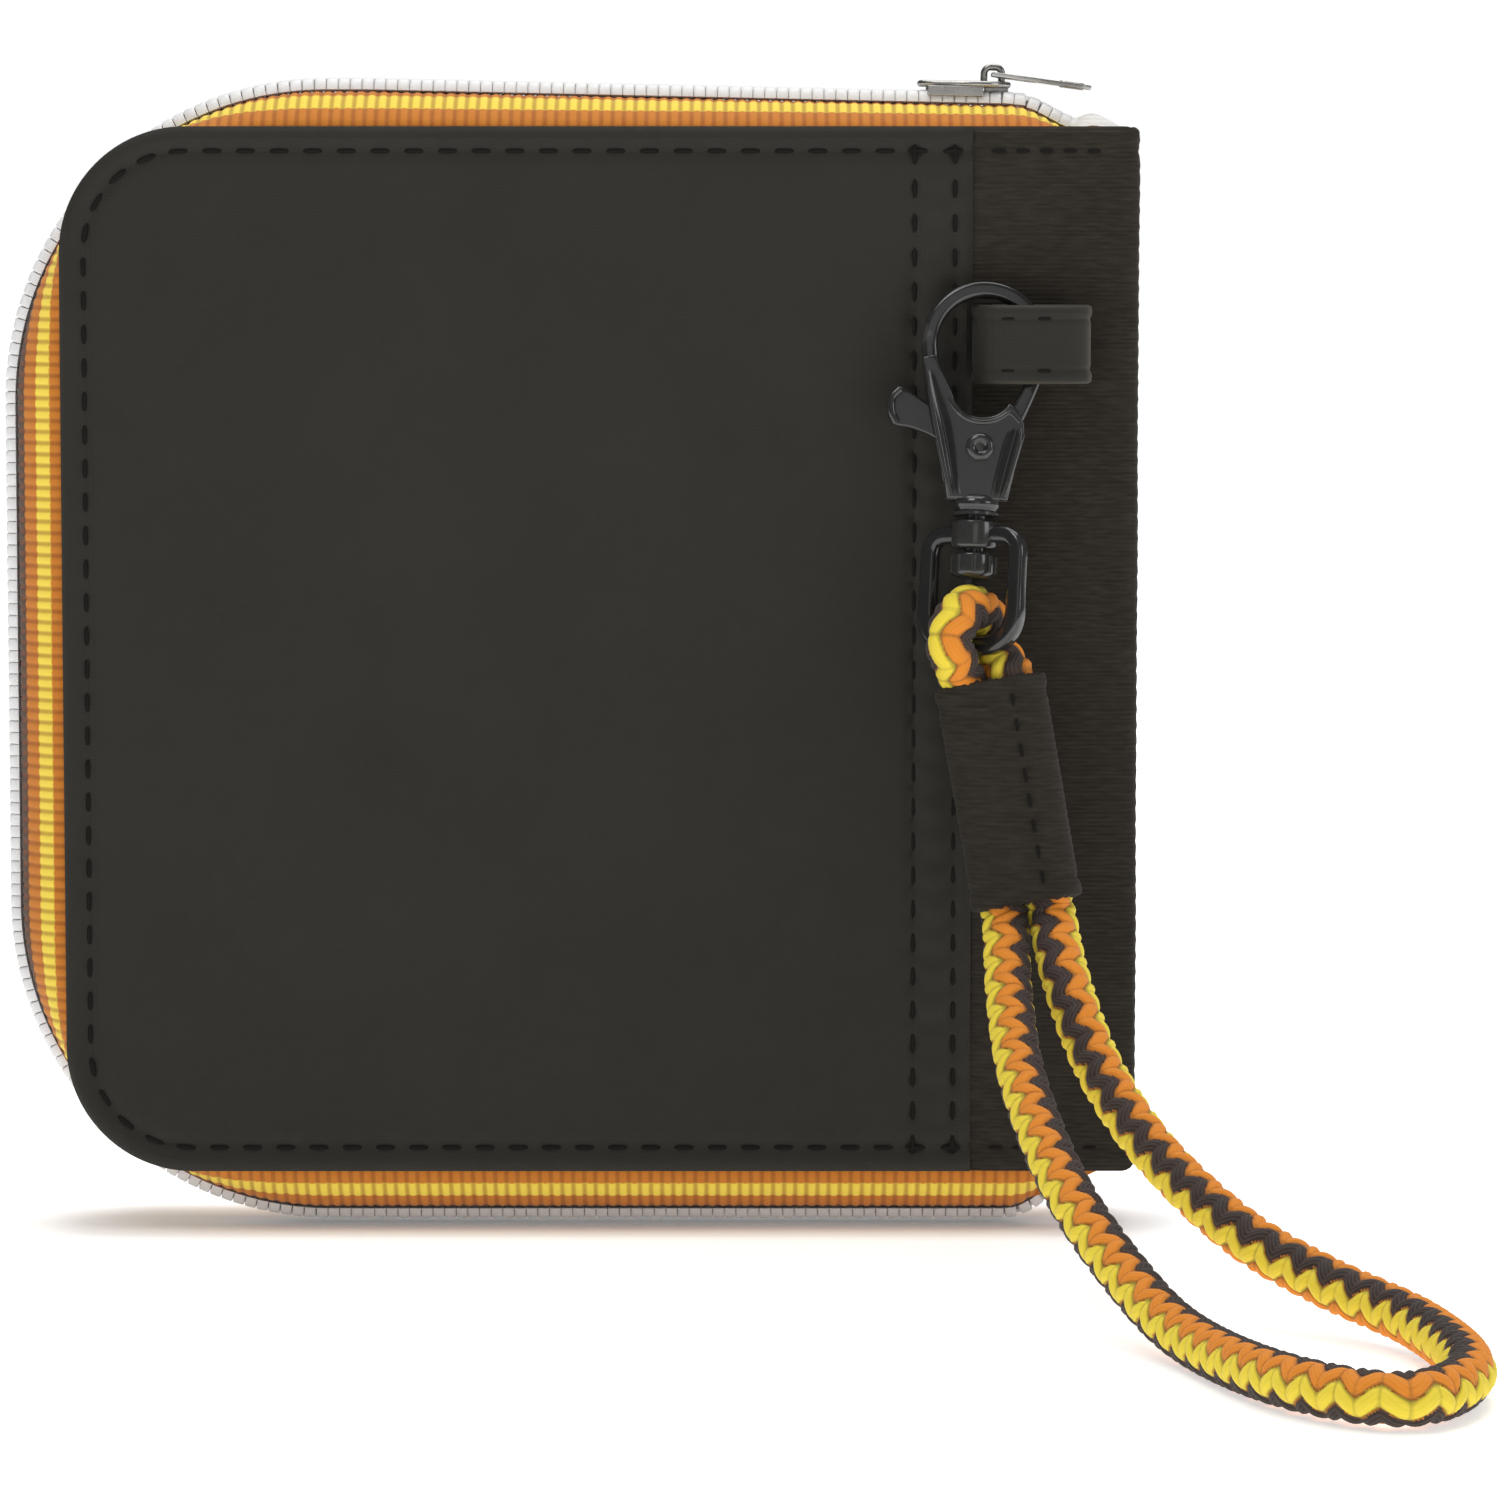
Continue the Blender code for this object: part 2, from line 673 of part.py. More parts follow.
def build_eye(frame, materials):
    """A D-shaped eye that turns on the swivel pin, modelled in the frame's XZ plane."""
    metal = materials["black_metal"]
    arm, half, bar = -20.3, EYE_HALF_WIDTH, EYE_BAR
    path = (
        [(-1.8, arm)]
        + arc((-half + 1.6, arm - 1.6), 1.6, 90, 180, 4)
        + arc((-half + 3.2, bar + 3.2), 3.2, 180, 270, 6)
        + arc((half - 3.2, bar + 3.2), 3.2, 270, 360, 6)
        + arc((half - 1.6, arm - 1.6), 1.6, 0, 90, 4)
        + [(1.8, arm)]
    )
    bow = as_mesh(wire("eye_bow", [(x, 0, z) for x, z in path], EYE_WIRE, metal, frame))
    eye = rod("swivel_eye", (0, 0, EYE_BOSS_BOTTOM), (0, 0, EYE_TOP), 2.5, metal, frame, 24)
    combine(eye, bow, "UNION")
    bore = rod("eye_bore", (0, 0, EYE_BOSS_BOTTOM - 1), (0, 0, EYE_TOP + 1), 1.4, metal, frame, 16)
    combine(eye, bore, "DIFFERENCE")


# ---------------------------------------------------------------- wrist cord


def spline_points(controls, count):
    """Points on a Catmull-Rom curve from the second control point to the last but one."""
    points = []
    for i in range(1, len(controls) - 2):
        before, start, end, after = (Vector(c) for c in controls[i - 1 : i + 3])
        for k in range(count):
            t = k / count
            points.append(
                0.5
                * (
                    2 * start
                    + (end - before) * t
                    + (2 * before - 5 * start + 4 * end - after) * t**2
                    + (3 * start - before - 3 * end + after) * t**3
                )
            )
    return [*points, Vector(controls[-2])]


def evenly(points, step):
    """The same closed path, as points about step apart."""
    loop = [*points, points[0]]
    lengths = [(b - a).length for a, b in zip(loop, loop[1:])]
    count = round(sum(lengths) / step)
    gap = sum(lengths) / count
    even, travelled, wanted = [], 0.0, 0.0
    for a, b, length in zip(loop, loop[1:], lengths):
        while wanted <= travelled + length and len(even) < count:
            even.append(a.lerp(b, (wanted - travelled) / length))
            wanted += gap
        travelled += length
    return even


def cord_path(bar_centre, away):
    """The closed centreline: an arch over the eye's bar, two strands down the sleeve, then the free loop."""
    crown = []
    for degrees in range(0, 181, 15):
        angle = math.radians(degrees)
        side = away * (CROWN_RADIUS * math.cos(angle))
        crown.append(bar_centre + side + Vector((0, 0, CROWN_RADIUS * math.sin(angle))))
    along = (SLEEVE_BOTTOM - SLEEVE_TOP).normalized()
    across = Vector((1, 0, 0)) - along * along.x
    across.normalize()
    offset = across * STRAND_OFFSET
    start, end = SLEEVE_TOP - along * STRAIGHT_PAST_SLEEVE, SLEEVE_BOTTOM + along * STRAIGHT_PAST_SLEEVE
    straight = [start, start + along * 2, end - along * 4, end]
    controls = [crown[-2], crown[-1]]
    controls += [point - offset for point in straight]
    controls += [Vector(p) for p in FREE_LOOP]
    controls += [point + offset for point in reversed(straight)]
    controls += [crown[0], crown[1]]
    return evenly(crown[:-1] + spline_points(controls, 8)[:-1], CORD_STEP)


def build_cord(bar_centre, away, materials):
    wire("wrist_cord", cord_path(bar_centre, away), CORD_RADIUS, materials["cord"], closed=True)
    half_width = STRAND_OFFSET + CORD_RADIUS + SLEEVE_GAP
    half_depth = CORD_RADIUS + SLEEVE_GAP
    inner = stadium(half_width, half_depth)
    outer = stadium(half_width + SLEEVE_WALL, half_depth + SLEEVE_WALL)
    along = SLEEVE_BOTTOM - SLEEVE_TOP
    centre = (SLEEVE_TOP + SLEEVE_BOTTOM) / 2
    across = (Vector((1, 0, 0)) - along.normalized() * along.normalized().x).normalized()
    upward = -along.normalized()
    turn = Matrix((across, upward.cross(across), upward)).transposed().to_4x4()
    curve = outline_curve([outer, inner], along.length / 2)
    add("cord_sleeve", curve, materials["ribbed"], None, Matrix.Translation(centre) @ turn)


def stadium(half_width, half_depth):
    inset = half_width - half_depth
    return arc((inset, 0), half_depth, -90, 90, 8) + arc((-inset, 0), half_depth, 90, 270, 8)


# ---------------------------------------------------------------- the wallet


def build():
    materials = {
        "coated": new_material("coated_fabric", (0.030, 0.028, 0.024), 0.75),
        "ribbed": new_material("ribbed_fabric", (0.022, 0.018, 0.015), 0.9),
        "board": new_material("board", (0.25, 0.20, 0.15), 0.9),
        "lining": new_material("lining", (0.04, 0.04, 0.042), 0.8),
        "tape": new_material("striped_tape", (0.90, 0.45, 0.05), 0.8),
        "plain_tape": new_material("plain_tape", (0.03, 0.03, 0.03), 0.85),
        "teeth": new_material("zip_teeth", (0.55, 0.52, 0.50), 0.45),
        "slider_metal": new_material("slider_metal", (0.30, 0.30, 0.29), 0.3, 1.0),
        "black_metal": new_material("black_metal", (0.02, 0.02, 0.022), 0.25, 0.7),
        "spring_steel": new_material("spring_steel", (0.45, 0.45, 0.45), 0.35, 1.0),
        "cord": new_material("braided_cord", (0.85, 0.50, 0.05), 0.85),
    }
    for half in ("back", "front"):
        build_half(half, materials)
    build_pockets(materials)
    build_spine(materials)
    zip_base = HALF_HEIGHT + TAPE_OUTSET["top"] + TEETH_BASE - slope_fall(SLIDER_NOSE)
    build_slider("zip_", (SLIDER_NOSE, MIDDLE, zip_base), math.atan(TOP_SLOPE), MAIN_SLIDER, materials)
    build_slider("coin_", (SLIDER_NOSE, PAGE_Y, COIN_TEETH_SPAN[0]), 0.0, COIN_SLIDER, materials)
    build_tab_loop(materials)
    hook = add_frame("hook_frame", HOOK_CENTRE, (HOOK_TILT, HOOK_LEAN, 0.0))
    build_hook(hook, materials)
    build_gate(hook, materials)
    eye = add_frame("eye_frame", (0, 0, 0), (0.0, 0.0, EYE_TURN), hook)
    build_eye(eye, materials)
    bpy.context.view_layer.update()
    bar_centre = eye.matrix_world @ Vector((0, 0, EYE_BAR * MM)) / MM
    away = eye.matrix_world.to_3x3() @ Vector((0, 1, 0))
    away.z = 0.0
    build_cord(bar_centre, away.normalized(), materials)


clear_scene()
PARTS = new_collection("zip_around_wallet")
CUTTERS = new_collection("cutters")
build()
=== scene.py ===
"""Looks of the zip-around wallet: fabric covers, striped zip tape, coil teeth, snap hook and braided cord.

Lengths are millimetres until a mesh is made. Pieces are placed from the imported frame's boxes and joints.
"""

import json
import math

import bmesh
import bpy
import numpy as np
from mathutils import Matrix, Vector


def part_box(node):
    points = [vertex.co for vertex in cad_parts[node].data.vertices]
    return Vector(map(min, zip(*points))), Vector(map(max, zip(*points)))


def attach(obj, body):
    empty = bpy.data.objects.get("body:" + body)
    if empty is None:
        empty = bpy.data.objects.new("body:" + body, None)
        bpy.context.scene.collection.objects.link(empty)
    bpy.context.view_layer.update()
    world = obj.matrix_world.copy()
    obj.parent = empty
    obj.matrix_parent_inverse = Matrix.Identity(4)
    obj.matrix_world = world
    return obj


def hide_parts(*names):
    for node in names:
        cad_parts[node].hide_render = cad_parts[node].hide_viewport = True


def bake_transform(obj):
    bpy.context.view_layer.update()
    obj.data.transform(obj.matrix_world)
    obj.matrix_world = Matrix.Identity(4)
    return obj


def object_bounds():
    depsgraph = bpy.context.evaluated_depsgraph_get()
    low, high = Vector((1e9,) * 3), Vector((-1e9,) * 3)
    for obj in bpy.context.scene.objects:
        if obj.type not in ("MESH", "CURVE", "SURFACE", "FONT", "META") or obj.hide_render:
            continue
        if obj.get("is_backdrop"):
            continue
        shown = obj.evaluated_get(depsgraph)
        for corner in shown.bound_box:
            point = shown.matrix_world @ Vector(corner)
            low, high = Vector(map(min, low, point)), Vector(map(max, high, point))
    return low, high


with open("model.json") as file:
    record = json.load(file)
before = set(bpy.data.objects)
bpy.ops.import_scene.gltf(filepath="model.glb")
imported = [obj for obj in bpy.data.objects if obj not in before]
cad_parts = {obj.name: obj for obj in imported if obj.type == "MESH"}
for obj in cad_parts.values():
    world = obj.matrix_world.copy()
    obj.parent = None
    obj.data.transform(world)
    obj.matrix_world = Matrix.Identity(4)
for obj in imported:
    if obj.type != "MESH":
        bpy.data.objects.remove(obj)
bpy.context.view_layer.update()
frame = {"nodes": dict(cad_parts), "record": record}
JOINTS = {joint["name"]: joint for joint in frame["record"]["behaviour"]["joints"]}
MM = 0.001


def node_box(node):
    """A CAD node's low and high corners in millimetres."""
    low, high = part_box(node)
    return np.array(low, float) / MM, np.array(high, float) / MM


def joint_point(name):
    return np.array(JOINTS[name]["pos_m"], float) / MM


def joint_axis(name):
    axis = np.array(JOINTS[name]["axis"], float)
    return axis / np.linalg.norm(axis)


COVER_LOW, COVER_HIGH = node_box("front_cover")
STRIP_LOW = node_box("front_spine_strip")[0]
TEETH_LOW, TEETH_HIGH = node_box("front_zip_teeth")
LEFT, SEAM = COVER_LOW[0], COVER_HIGH[0]
TOP, BOTTOM = COVER_HIGH[2], COVER_LOW[2]
FRONT_FACE, BACK_FACE = COVER_LOW[1], node_box("back_cover")[1][1]
MIDDLE = (FRONT_FACE + BACK_FACE) / 2
SPINE_FACE = node_box("spine_strip")[1][0]
CORNER = 13.5
# The zip's outline: the radius of its corners, and how it falls to the spine between two places along x
GUSSET_RADIUS = 33.0
RAMP_DROP = 4.5
RAMP = (52.0, 44.0)
# The top run also slopes gently from here on
SLOPE_START = -25.0
TOP_SLOPE = 0.022

# ---------------------------------------------------------------- node materials


class Nodes:
    """A short way to write a material's node tree."""

    def __init__(self, name):
        self.material = bpy.data.materials.new(name)
        self.material.use_nodes = True
        self.tree = self.material.node_tree
        self.shader = self.tree.nodes["Principled BSDF"]
        self.coordinate = None

    def node(self, kind, **inputs):
        node = self.tree.nodes.new(kind)
        for key, value in inputs.items():
            socket = node.inputs[int(key[1:])] if key[0] == "i" and key[1:].isdigit() else node.inputs[key]
            self.link(value, socket)
        return node

    def link(self, value, socket):
        if isinstance(value, bpy.types.NodeSocket):
            self.tree.links.new(value, socket)
        else:
            socket.default_value = value

    def math(self, operation, a, b=0.0, c=0.0):
        node = self.tree.nodes.new("ShaderNodeMath")
        node.operation = operation
        for value, socket in zip((a, b, c), node.inputs):
            self.link(value, socket)
        return node.outputs[0]

    def weighted(self, *terms):
        """The sum of values, each times its share."""
        products = [self.math("MULTIPLY", value, share) for value, share in terms]
        total = products[0]
        for product in products[1:]:
            total = self.math("ADD", total, product)
        return total

    def position(self):
        """Object coordinates in millimetres, as x, y and z sockets."""
        if self.coordinate is None:
            source = self.tree.nodes.new("ShaderNodeTexCoord").outputs["Object"]
            scaled = self.tree.nodes.new("ShaderNodeVectorMath")
            scaled.operation = "SCALE"
            scaled.inputs["Scale"].default_value = 1 / MM
            self.tree.links.new(source, scaled.inputs[0])
            split = self.node("ShaderNodeSeparateXYZ", i0=scaled.outputs[0])
            self.coordinate = (scaled.outputs[0], *split.outputs[:3])
        return self.coordinate

    def attribute(self, name):
        node = self.tree.nodes.new("ShaderNodeAttribute")
        node.attribute_name = name
        return node.outputs["Fac"]

    def noise(self, scale, detail=3.0, roughness=0.55, vector=None):
        """Noise between 0 and 1 with about scale features per millimetre."""
        node = self.tree.nodes.new("ShaderNodeTexNoise")
        node.inputs["Scale"].default_value = scale
        node.inputs["Detail"].default_value = detail
        node.inputs["Roughness"].default_value = roughness
        self.tree.links.new(vector or self.position()[0], node.inputs["Vector"])
        return node.outputs["Fac"]

    def wave(self, value, pitch, shift=0.0):
        """A smooth wave between 0 and 1 with the given pitch."""
        angle = self.math("MULTIPLY_ADD", value, 2 * math.pi / pitch, shift)
        return self.math("MULTIPLY_ADD", self.math("SINE", angle), 0.5, 0.5)

    def spread(self, value, low, high, to_low, to_high):
        node = self.tree.nodes.new("ShaderNodeMapRange")
        for item, socket in zip((value, low, high, to_low, to_high), node.inputs):
            self.link(item, socket)
        return node.outputs[0]

    def mix(self, share, first, second):
        node = self.tree.nodes.new("ShaderNodeMix")
        node.data_type = "RGBA"
        self.link(share, node.inputs[0])
        self.link(colour(first), node.inputs[6])
        self.link(colour(second), node.inputs[7])
        return node.outputs[2]

    def finish(self, base, roughness, height=None, bump=0.3, depth=0.1, metallic=0.0, **extra):
        """Sets the shader. height is a 0 to 1 socket and depth the relief's size in millimetres."""
        self.link(colour(base), self.shader.inputs["Base Color"])
        self.link(roughness, self.shader.inputs["Roughness"])
        self.link(metallic, self.shader.inputs["Metallic"])
        if height is not None:
            node = self.node("ShaderNodeBump", Strength=bump, Distance=depth * MM, Height=height)
            self.tree.links.new(node.outputs[0], self.shader.inputs["Normal"])
        for key, value in extra.items():
            self.link(value, self.shader.inputs[key.replace("_", " ")])
        return self.material


def colour(value):
    return (*value, 1.0) if isinstance(value, tuple) and len(value) == 3 else value


def coated_fabric():
    """Matt coated cloth: a fine plain weave under the coating, faint mottling, and a painted highlight where a
    point attribute marks rims and folds.
    """
    n = Nodes("coated_fabric")
    _, x, y, z = n.position()
    across = n.math("ADD", x, n.math("MULTIPLY", y, 0.7))
    weave = n.math("MULTIPLY", n.wave(across, 0.42), n.wave(z, 0.42))
    grain = n.noise(2.2, 4.0)
    mottle = n.noise(0.07, 3.0)
    slub = n.noise(0.6, 2.0)
    share = n.weighted((mottle, 0.55), (slub, 0.45))
    base = n.mix(n.spread(share, 0.35, 0.68, 0.0, 1.0), (0.0175, 0.0162, 0.0118), (0.0215, 0.0203, 0.0155))
    base = n.mix(n.math("MULTIPLY", weave, 0.3), base, (0.034, 0.032, 0.026))
    # Painted highlight: paler where the point attribute marks rims and folds
    base = n.mix(n.math("MULTIPLY", n.attribute("edge_highlight"), 0.75), base, (0.085, 0.070, 0.056))
    height, roughness = n.weighted((weave, 0.5), (grain, 0.5)), n.spread(slub, 0.3, 0.7, 0.60, 0.74)
    sheen = {"Sheen_Weight": 0.04, "Sheen_Roughness": 0.5}
    return n.finish(base, roughness, height, bump=0.35, depth=0.05, Specular_IOR_Level=0.24, **sheen)


def ribbed_fabric():
    """Cloth with fine level ribs and broken bright and dark threads along them."""
    n = Nodes("ribbed_fabric")
    vector, x, y, z = n.position()
    ribs = n.wave(z, 0.46)
    stretched = n.node("ShaderNodeMapping", Vector=vector, Scale=(0.45, 0.45, 3.2))
    streaks = n.noise(1.0, 3.0, vector=stretched.outputs[0])
    cross = n.wave(n.math("ADD", x, y), 0.5)
    mottle = n.noise(0.08, 2.0)
    low = n.mix(n.spread(mottle, 0.3, 0.7, 0.0, 1.0), (0.0150, 0.0118, 0.0082), (0.0190, 0.0153, 0.0108))
    base = n.mix(n.spread(streaks, 0.40, 0.70, 0.0, 1.0), low, (0.031, 0.026, 0.019))
    base = n.mix(n.math("MULTIPLY", ribs, 0.30), base, (0.032, 0.026, 0.020))
    height = n.weighted((ribs, 0.7), (cross, 0.15), (streaks, 0.3))
    sheen = {"Sheen_Weight": 0.04, "Sheen_Roughness": 0.5}
    return n.finish(base, 0.85, height, bump=0.6, depth=0.10, Specular_IOR_Level=0.2, **sheen)


def thread():
    n = Nodes("sewing_thread")
    twist = n.wave(n.math("ADD", n.position()[1], n.position()[3]), 0.25)
    base = n.mix(twist, (0.005, 0.0045, 0.0035), (0.013, 0.012, 0.010))
    return n.finish(base, 0.8, twist, bump=0.4, depth=0.04, Specular_IOR_Level=0.15)


def striped_tape():
    """Woven tape with stripes by the distance from its seam: orange, yellow, orange and dark, and painted shade in
    the troughs between its ribs.
    """
    n = Nodes("striped_tape")
    across, along = n.attribute("across"), n.attribute("along")
    fuzz = n.math("MULTIPLY_ADD", n.noise(1.6, 2.0), 0.5, -0.25)
    place = n.math("ADD", across, n.math("MULTIPLY", fuzz, 0.5))
    ramp = n.tree.nodes.new("ShaderNodeValToRGB")
    stripes = ((0.0, ORANGE), (3.95, ORANGE), (4.2, YELLOW), (6.9, YELLOW), (7.15, ORANGE), (10.3, ORANGE))
    stripes += ((10.6, TAPE_DARK), (12.0, TAPE_DARK))
    for i, (distance, tint) in enumerate(stripes):
        stop = ramp.color_ramp.elements[i] if i < 2 else ramp.color_ramp.elements.new(1.0)
        stop.position = distance / STRIPES_END
        stop.color = (*tint, 1.0)
    n.link(n.math("DIVIDE", place, STRIPES_END), ramp.inputs[0])
    ribs = n.wave(along, RIB_PITCH)
    fine = n.wave(across, 0.5)
    # Painted shade: the troughs between the ribs are darkened towards brown
    dark = n.mix(0.52, ramp.outputs[0], (0.20, 0.03, 0.002))
    base = n.mix(n.spread(ribs, 0.05, 0.6, 0.0, 1.0), dark, ramp.outputs[0])
    base = n.mix(n.math("MULTIPLY", n.noise(0.9, 3.0), 0.12), base, (0.90, 0.55, 0.16))
    height = n.weighted((fine, 0.4), (n.noise(3.0), 0.6))
    return n.finish(base, 0.8, height, bump=0.35, depth=0.08, Sheen_Weight=0.08, Specular_IOR_Level=0.25)


def plain_cloth(name, dark, light, pitch=0.5, relief=0.07):
    n = Nodes(name)
    _, x, y, z = n.position()
    weave = n.math("MULTIPLY", n.wave(n.math("ADD", x, y), pitch), n.wave(z, pitch))
    share = n.weighted((weave, 0.6), (n.noise(0.5, 4.0), 0.5))
    height = n.weighted((weave, 0.7), (n.noise(2.5), 0.3))
    return n.finish(n.mix(share, dark, light), 0.82, height, bump=0.45, depth=relief, Sheen_Weight=0.2)


def nylon():
    n = Nodes("nylon_teeth")
    share = n.noise(0.8, 3.0)
    base = n.mix(share, (0.72, 0.70, 0.69), (0.88, 0.87, 0.86))
    roughness = n.spread(share, 0.3, 0.7, 0.35, 0.5)
    return n.finish(base, roughness, n.noise(4.0), bump=0.15, depth=0.05, Subsurface_Weight=0.05)


def metal(name, low, high, rough_low, rough_high, metallic, coat=0.0):
    """Plated die-cast metal: slight waviness, fine scratches, a finish that varies a little, and convex edges
    painted paler as a highlight.
    """
    n = Nodes(name)
    vector = n.position()[0]
    stretched = n.node("ShaderNodeMapping", Vector=vector, Scale=(0.3, 2.0, 2.6))
    scratch = n.noise(1.4, 4.0, vector=stretched.outputs[0])
    blotch = n.noise(0.35, 3.0)
    geometry = n.tree.nodes.new("ShaderNodeNewGeometry")
    # Painted highlight: convex edges, found by pointiness, are mixed towards a much paler colour
    edge = n.spread(geometry.outputs["Pointiness"], 0.515, 0.60, 0.0, 1.0)
    base = n.mix(blotch, low, high)
    edge_highlight = tuple(min(1.0, 3.0 * c + 0.05) for c in high)
    base = n.mix(n.math("MULTIPLY", edge, 0.35), base, edge_highlight)
    height = n.weighted((scratch, 0.3), (n.noise(0.8, 2.0), 0.7))
    roughness = n.spread(scratch, 0.25, 0.75, rough_low, rough_high)
    coating = {"Coat_Weight": coat, "Coat_Roughness": 0.08}
    return n.finish(base, roughness, height, bump=0.12, depth=0.06, metallic=metallic, **coating)


def braid():
    """Braided yarn in three stripes. The bundle attribute says which, and strand runs with the fibres."""
    n = Nodes("braided_cord")
    bundle, strand, groove = n.attribute("bundle"), n.attribute("strand"), n.attribute("groove")
    first = n.mix(n.math("GREATER_THAN", bundle, 0.5), DARK_YARN, ORANGE_YARN)
    base = n.mix(n.math("GREATER_THAN", bundle, 1.5), first, YELLOW_YARN)
    fibres = n.weighted((n.wave(strand, 1.0), 0.6), (n.noise(3.0, 3.0), 0.4))
    shade = n.mix(0.72, base, (0.05, 0.015, 0.004))
    base = n.mix(n.spread(groove, 0.0, 0.65, 0.0, 1.0), shade, base)
    base = n.mix(n.math("MULTIPLY", fibres, 0.06), base, (1.0, 0.80, 0.45))
    return n.finish(base, 0.75, fibres, bump=0.45, depth=0.10, Sheen_Weight=0.08, Specular_IOR_Level=0.3)


ORANGE = (0.56, 0.175, 0.014)
YELLOW = (0.87, 0.67, 0.075)
TAPE_DARK = (0.035, 0.018, 0.022)
YELLOW_YARN = (0.84, 0.66, 0.040)
ORANGE_YARN = (0.76, 0.24, 0.010)
DARK_YARN = (0.018, 0.010, 0.017)
RIB_PITCH = 1.2
STRIPES_END = 16.0

COATED = coated_fabric()
RIBBED = ribbed_fabric()
THREAD = thread()
TAPE = striped_tape()
CORD = braid()
LINING = plain_cloth("lining_cloth", (0.020, 0.020, 0.021), (0.050, 0.050, 0.052))
BINDING = plain_cloth("binding_cloth", (0.010, 0.010, 0.010), (0.030, 0.029, 0.028), 0.8, 0.12)
PLAIN_TAPE = plain_cloth("plain_tape", (0.012, 0.012, 0.012), (0.035, 0.034, 0.033), 0.6, 0.1)
PALE_TAPE = plain_cloth("pale_tape", (0.62, 0.60, 0.56), (0.86, 0.85, 0.82), 0.5, 0.06)
BOARD = plain_cloth("stiffener_board", (0.16, 0.12, 0.085), (0.24, 0.19, 0.14), 0.3, 0.04)
NYLON = nylon()
NICKEL = metal("dark_nickel", (0.20, 0.19, 0.18), (0.34, 0.33, 0.31), 0.22, 0.36, 1.0)
BLACK = metal("black_plating", (0.012, 0.012, 0.012), (0.022, 0.021, 0.020), 0.16, 0.26, 0.35, 0.6)
STEEL = metal("spring_steel", (0.36, 0.36, 0.36), (0.5, 0.5, 0.5), 0.25, 0.4, 1.0)

# ---------------------------------------------------------------- mesh helpers


def shown(name, data):
    """A new object in the scene."""
    obj = bpy.data.objects.new(name, data)
    bpy.context.scene.collection.objects.link(obj)
    return obj


def piece(name, part, material, body, slot, *replaced, attributes=None):
    """A shown piece made from points in millimetres and faces, which takes the place of the replaced nodes.

    It rides on body, or on nothing yet when body is None.
    """
    points, faces = part
    mesh = bpy.data.meshes.new(name)
    mesh.from_pydata([tuple(p) for p in np.asarray(points, float) * MM], [], [tuple(f) for f in faces])
    mesh.materials.append(material)
    for key, values in (attributes or {}).items():
        layer = mesh.attributes.new(key, "FLOAT", "POINT")
        layer.data.foreach_set("value", np.asarray(values, np.float32))
    obj = shown(name, mesh)
    shape = bmesh.new()
    shape.from_mesh(mesh)
    bmesh.ops.recalc_face_normals(shape, faces=shape.faces)
    shape.to_mesh(mesh)
    shape.free()
    mesh.shade_smooth()
    mesh.set_sharp_from_angle(angle=math.radians(50))
    if body:
        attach(obj, body)
    if replaced:
        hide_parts(*replaced)
    return obj


def grid_faces(rows, across, wrap_rows=False, wrap_across=False, start=0):
    """Quads over a grid of points stored row by row."""
    faces = []
    for r in range(rows if wrap_rows else rows - 1):
        for c in range(across if wrap_across else across - 1):
            this, after = start + r * across, start + (r + 1) % rows * across
            c2 = (c + 1) % across
            faces.append((this + c, this + c2, after + c2, after + c))
    return faces


def closed_slab(outer, inner):
    """Points and faces of a solid between two open grids of the same shape (rows, across, 3)."""
    rows, across = outer.shape[:2]
    count = rows * across
    faces = grid_faces(rows, across)
    faces += [tuple(reversed(f)) for f in grid_faces(rows, across, start=count)]
    rim = list(range(across))
    rim += [r * across + across - 1 for r in range(1, rows)]
    rim += [(rows - 1) * across + c for c in range(across - 2, -1, -1)]
    rim += [r * across for r in range(rows - 2, 0, -1)]
    for a, b in zip(rim, rim[1:] + rim[:1]):
        faces.append((b, a, a + count, b + count))
    return np.concatenate([outer.reshape(-1, 3), inner.reshape(-1, 3)]), faces


def normalise(vectors):
    length = np.linalg.norm(vectors, axis=-1, keepdims=True)
    return vectors / np.maximum(length, 1e-12)


def grid_normals(grid):
    along = np.gradient(grid, axis=0)
    across = np.gradient(grid, axis=1)
    return normalise(np.cross(along, across))


def smoothstep(x, low=0.0, high=1.0):
    t = np.clip((np.asarray(x, float) - low) / (high - low), 0, 1)
    return t * t * (3 - 2 * t)


def bell(value, centre, width):
    return np.exp(-(((value - centre) / width) ** 2))


def arc(centre, radius, start, end, steps):
    angles = np.radians(np.linspace(start, end, steps + 1))
    return [(centre[0] + radius * math.cos(a), centre[1] + radius * math.sin(a)) for a in angles]


def path_frames(points, closed, first_normal):
    """Tangents, normals and binormals along a path, carried without twist."""
    points = np.asarray(points, float)
    if closed:
        tangents = normalise(np.roll(points, -1, 0) - np.roll(points, 1, 0))
    else:
        tangents = normalise(np.gradient(points, axis=0))
    normals = [np.array(first_normal, float) - tangents[0] * np.dot(first_normal, tangents[0])]
    for t in tangents[1:]:
        normals.append(normals[-1] - t * np.dot(normals[-1], t))
        normals[-1] = normals[-1] / np.linalg.norm(normals[-1])
    normals = normalise(np.array(normals))
    return tangents, normals, np.cross(tangents, normals)


def sweep(points, section, closed=False, first_normal=(0, 1, 0), scale=None):
    """Points and faces of a tube. section is (k, 2) or one per station; scale is a number per station."""
    points = np.asarray(points, float)
    _, normals, binormals = path_frames(points, closed, first_normal)
    section = np.asarray(section, float)
    if section.ndim == 2:
        section = np.repeat(section[None], len(points), axis=0)
    if scale is not None:
        section = section * np.asarray(scale, float)[:, None, None]
    grid = points[:, None] + normals[:, None] * section[..., :1] + binormals[:, None] * section[..., 1:]
    if not closed:
        return capped_tube(grid)
    return grid.reshape(-1, 3), grid_faces(*grid.shape[:2], wrap_rows=True, wrap_across=True)


def circle(radius, sides=12):
    angles = np.linspace(0, 2 * math.pi, sides, endpoint=False)
    return np.stack([radius * np.cos(angles), radius * np.sin(angles)], 1)


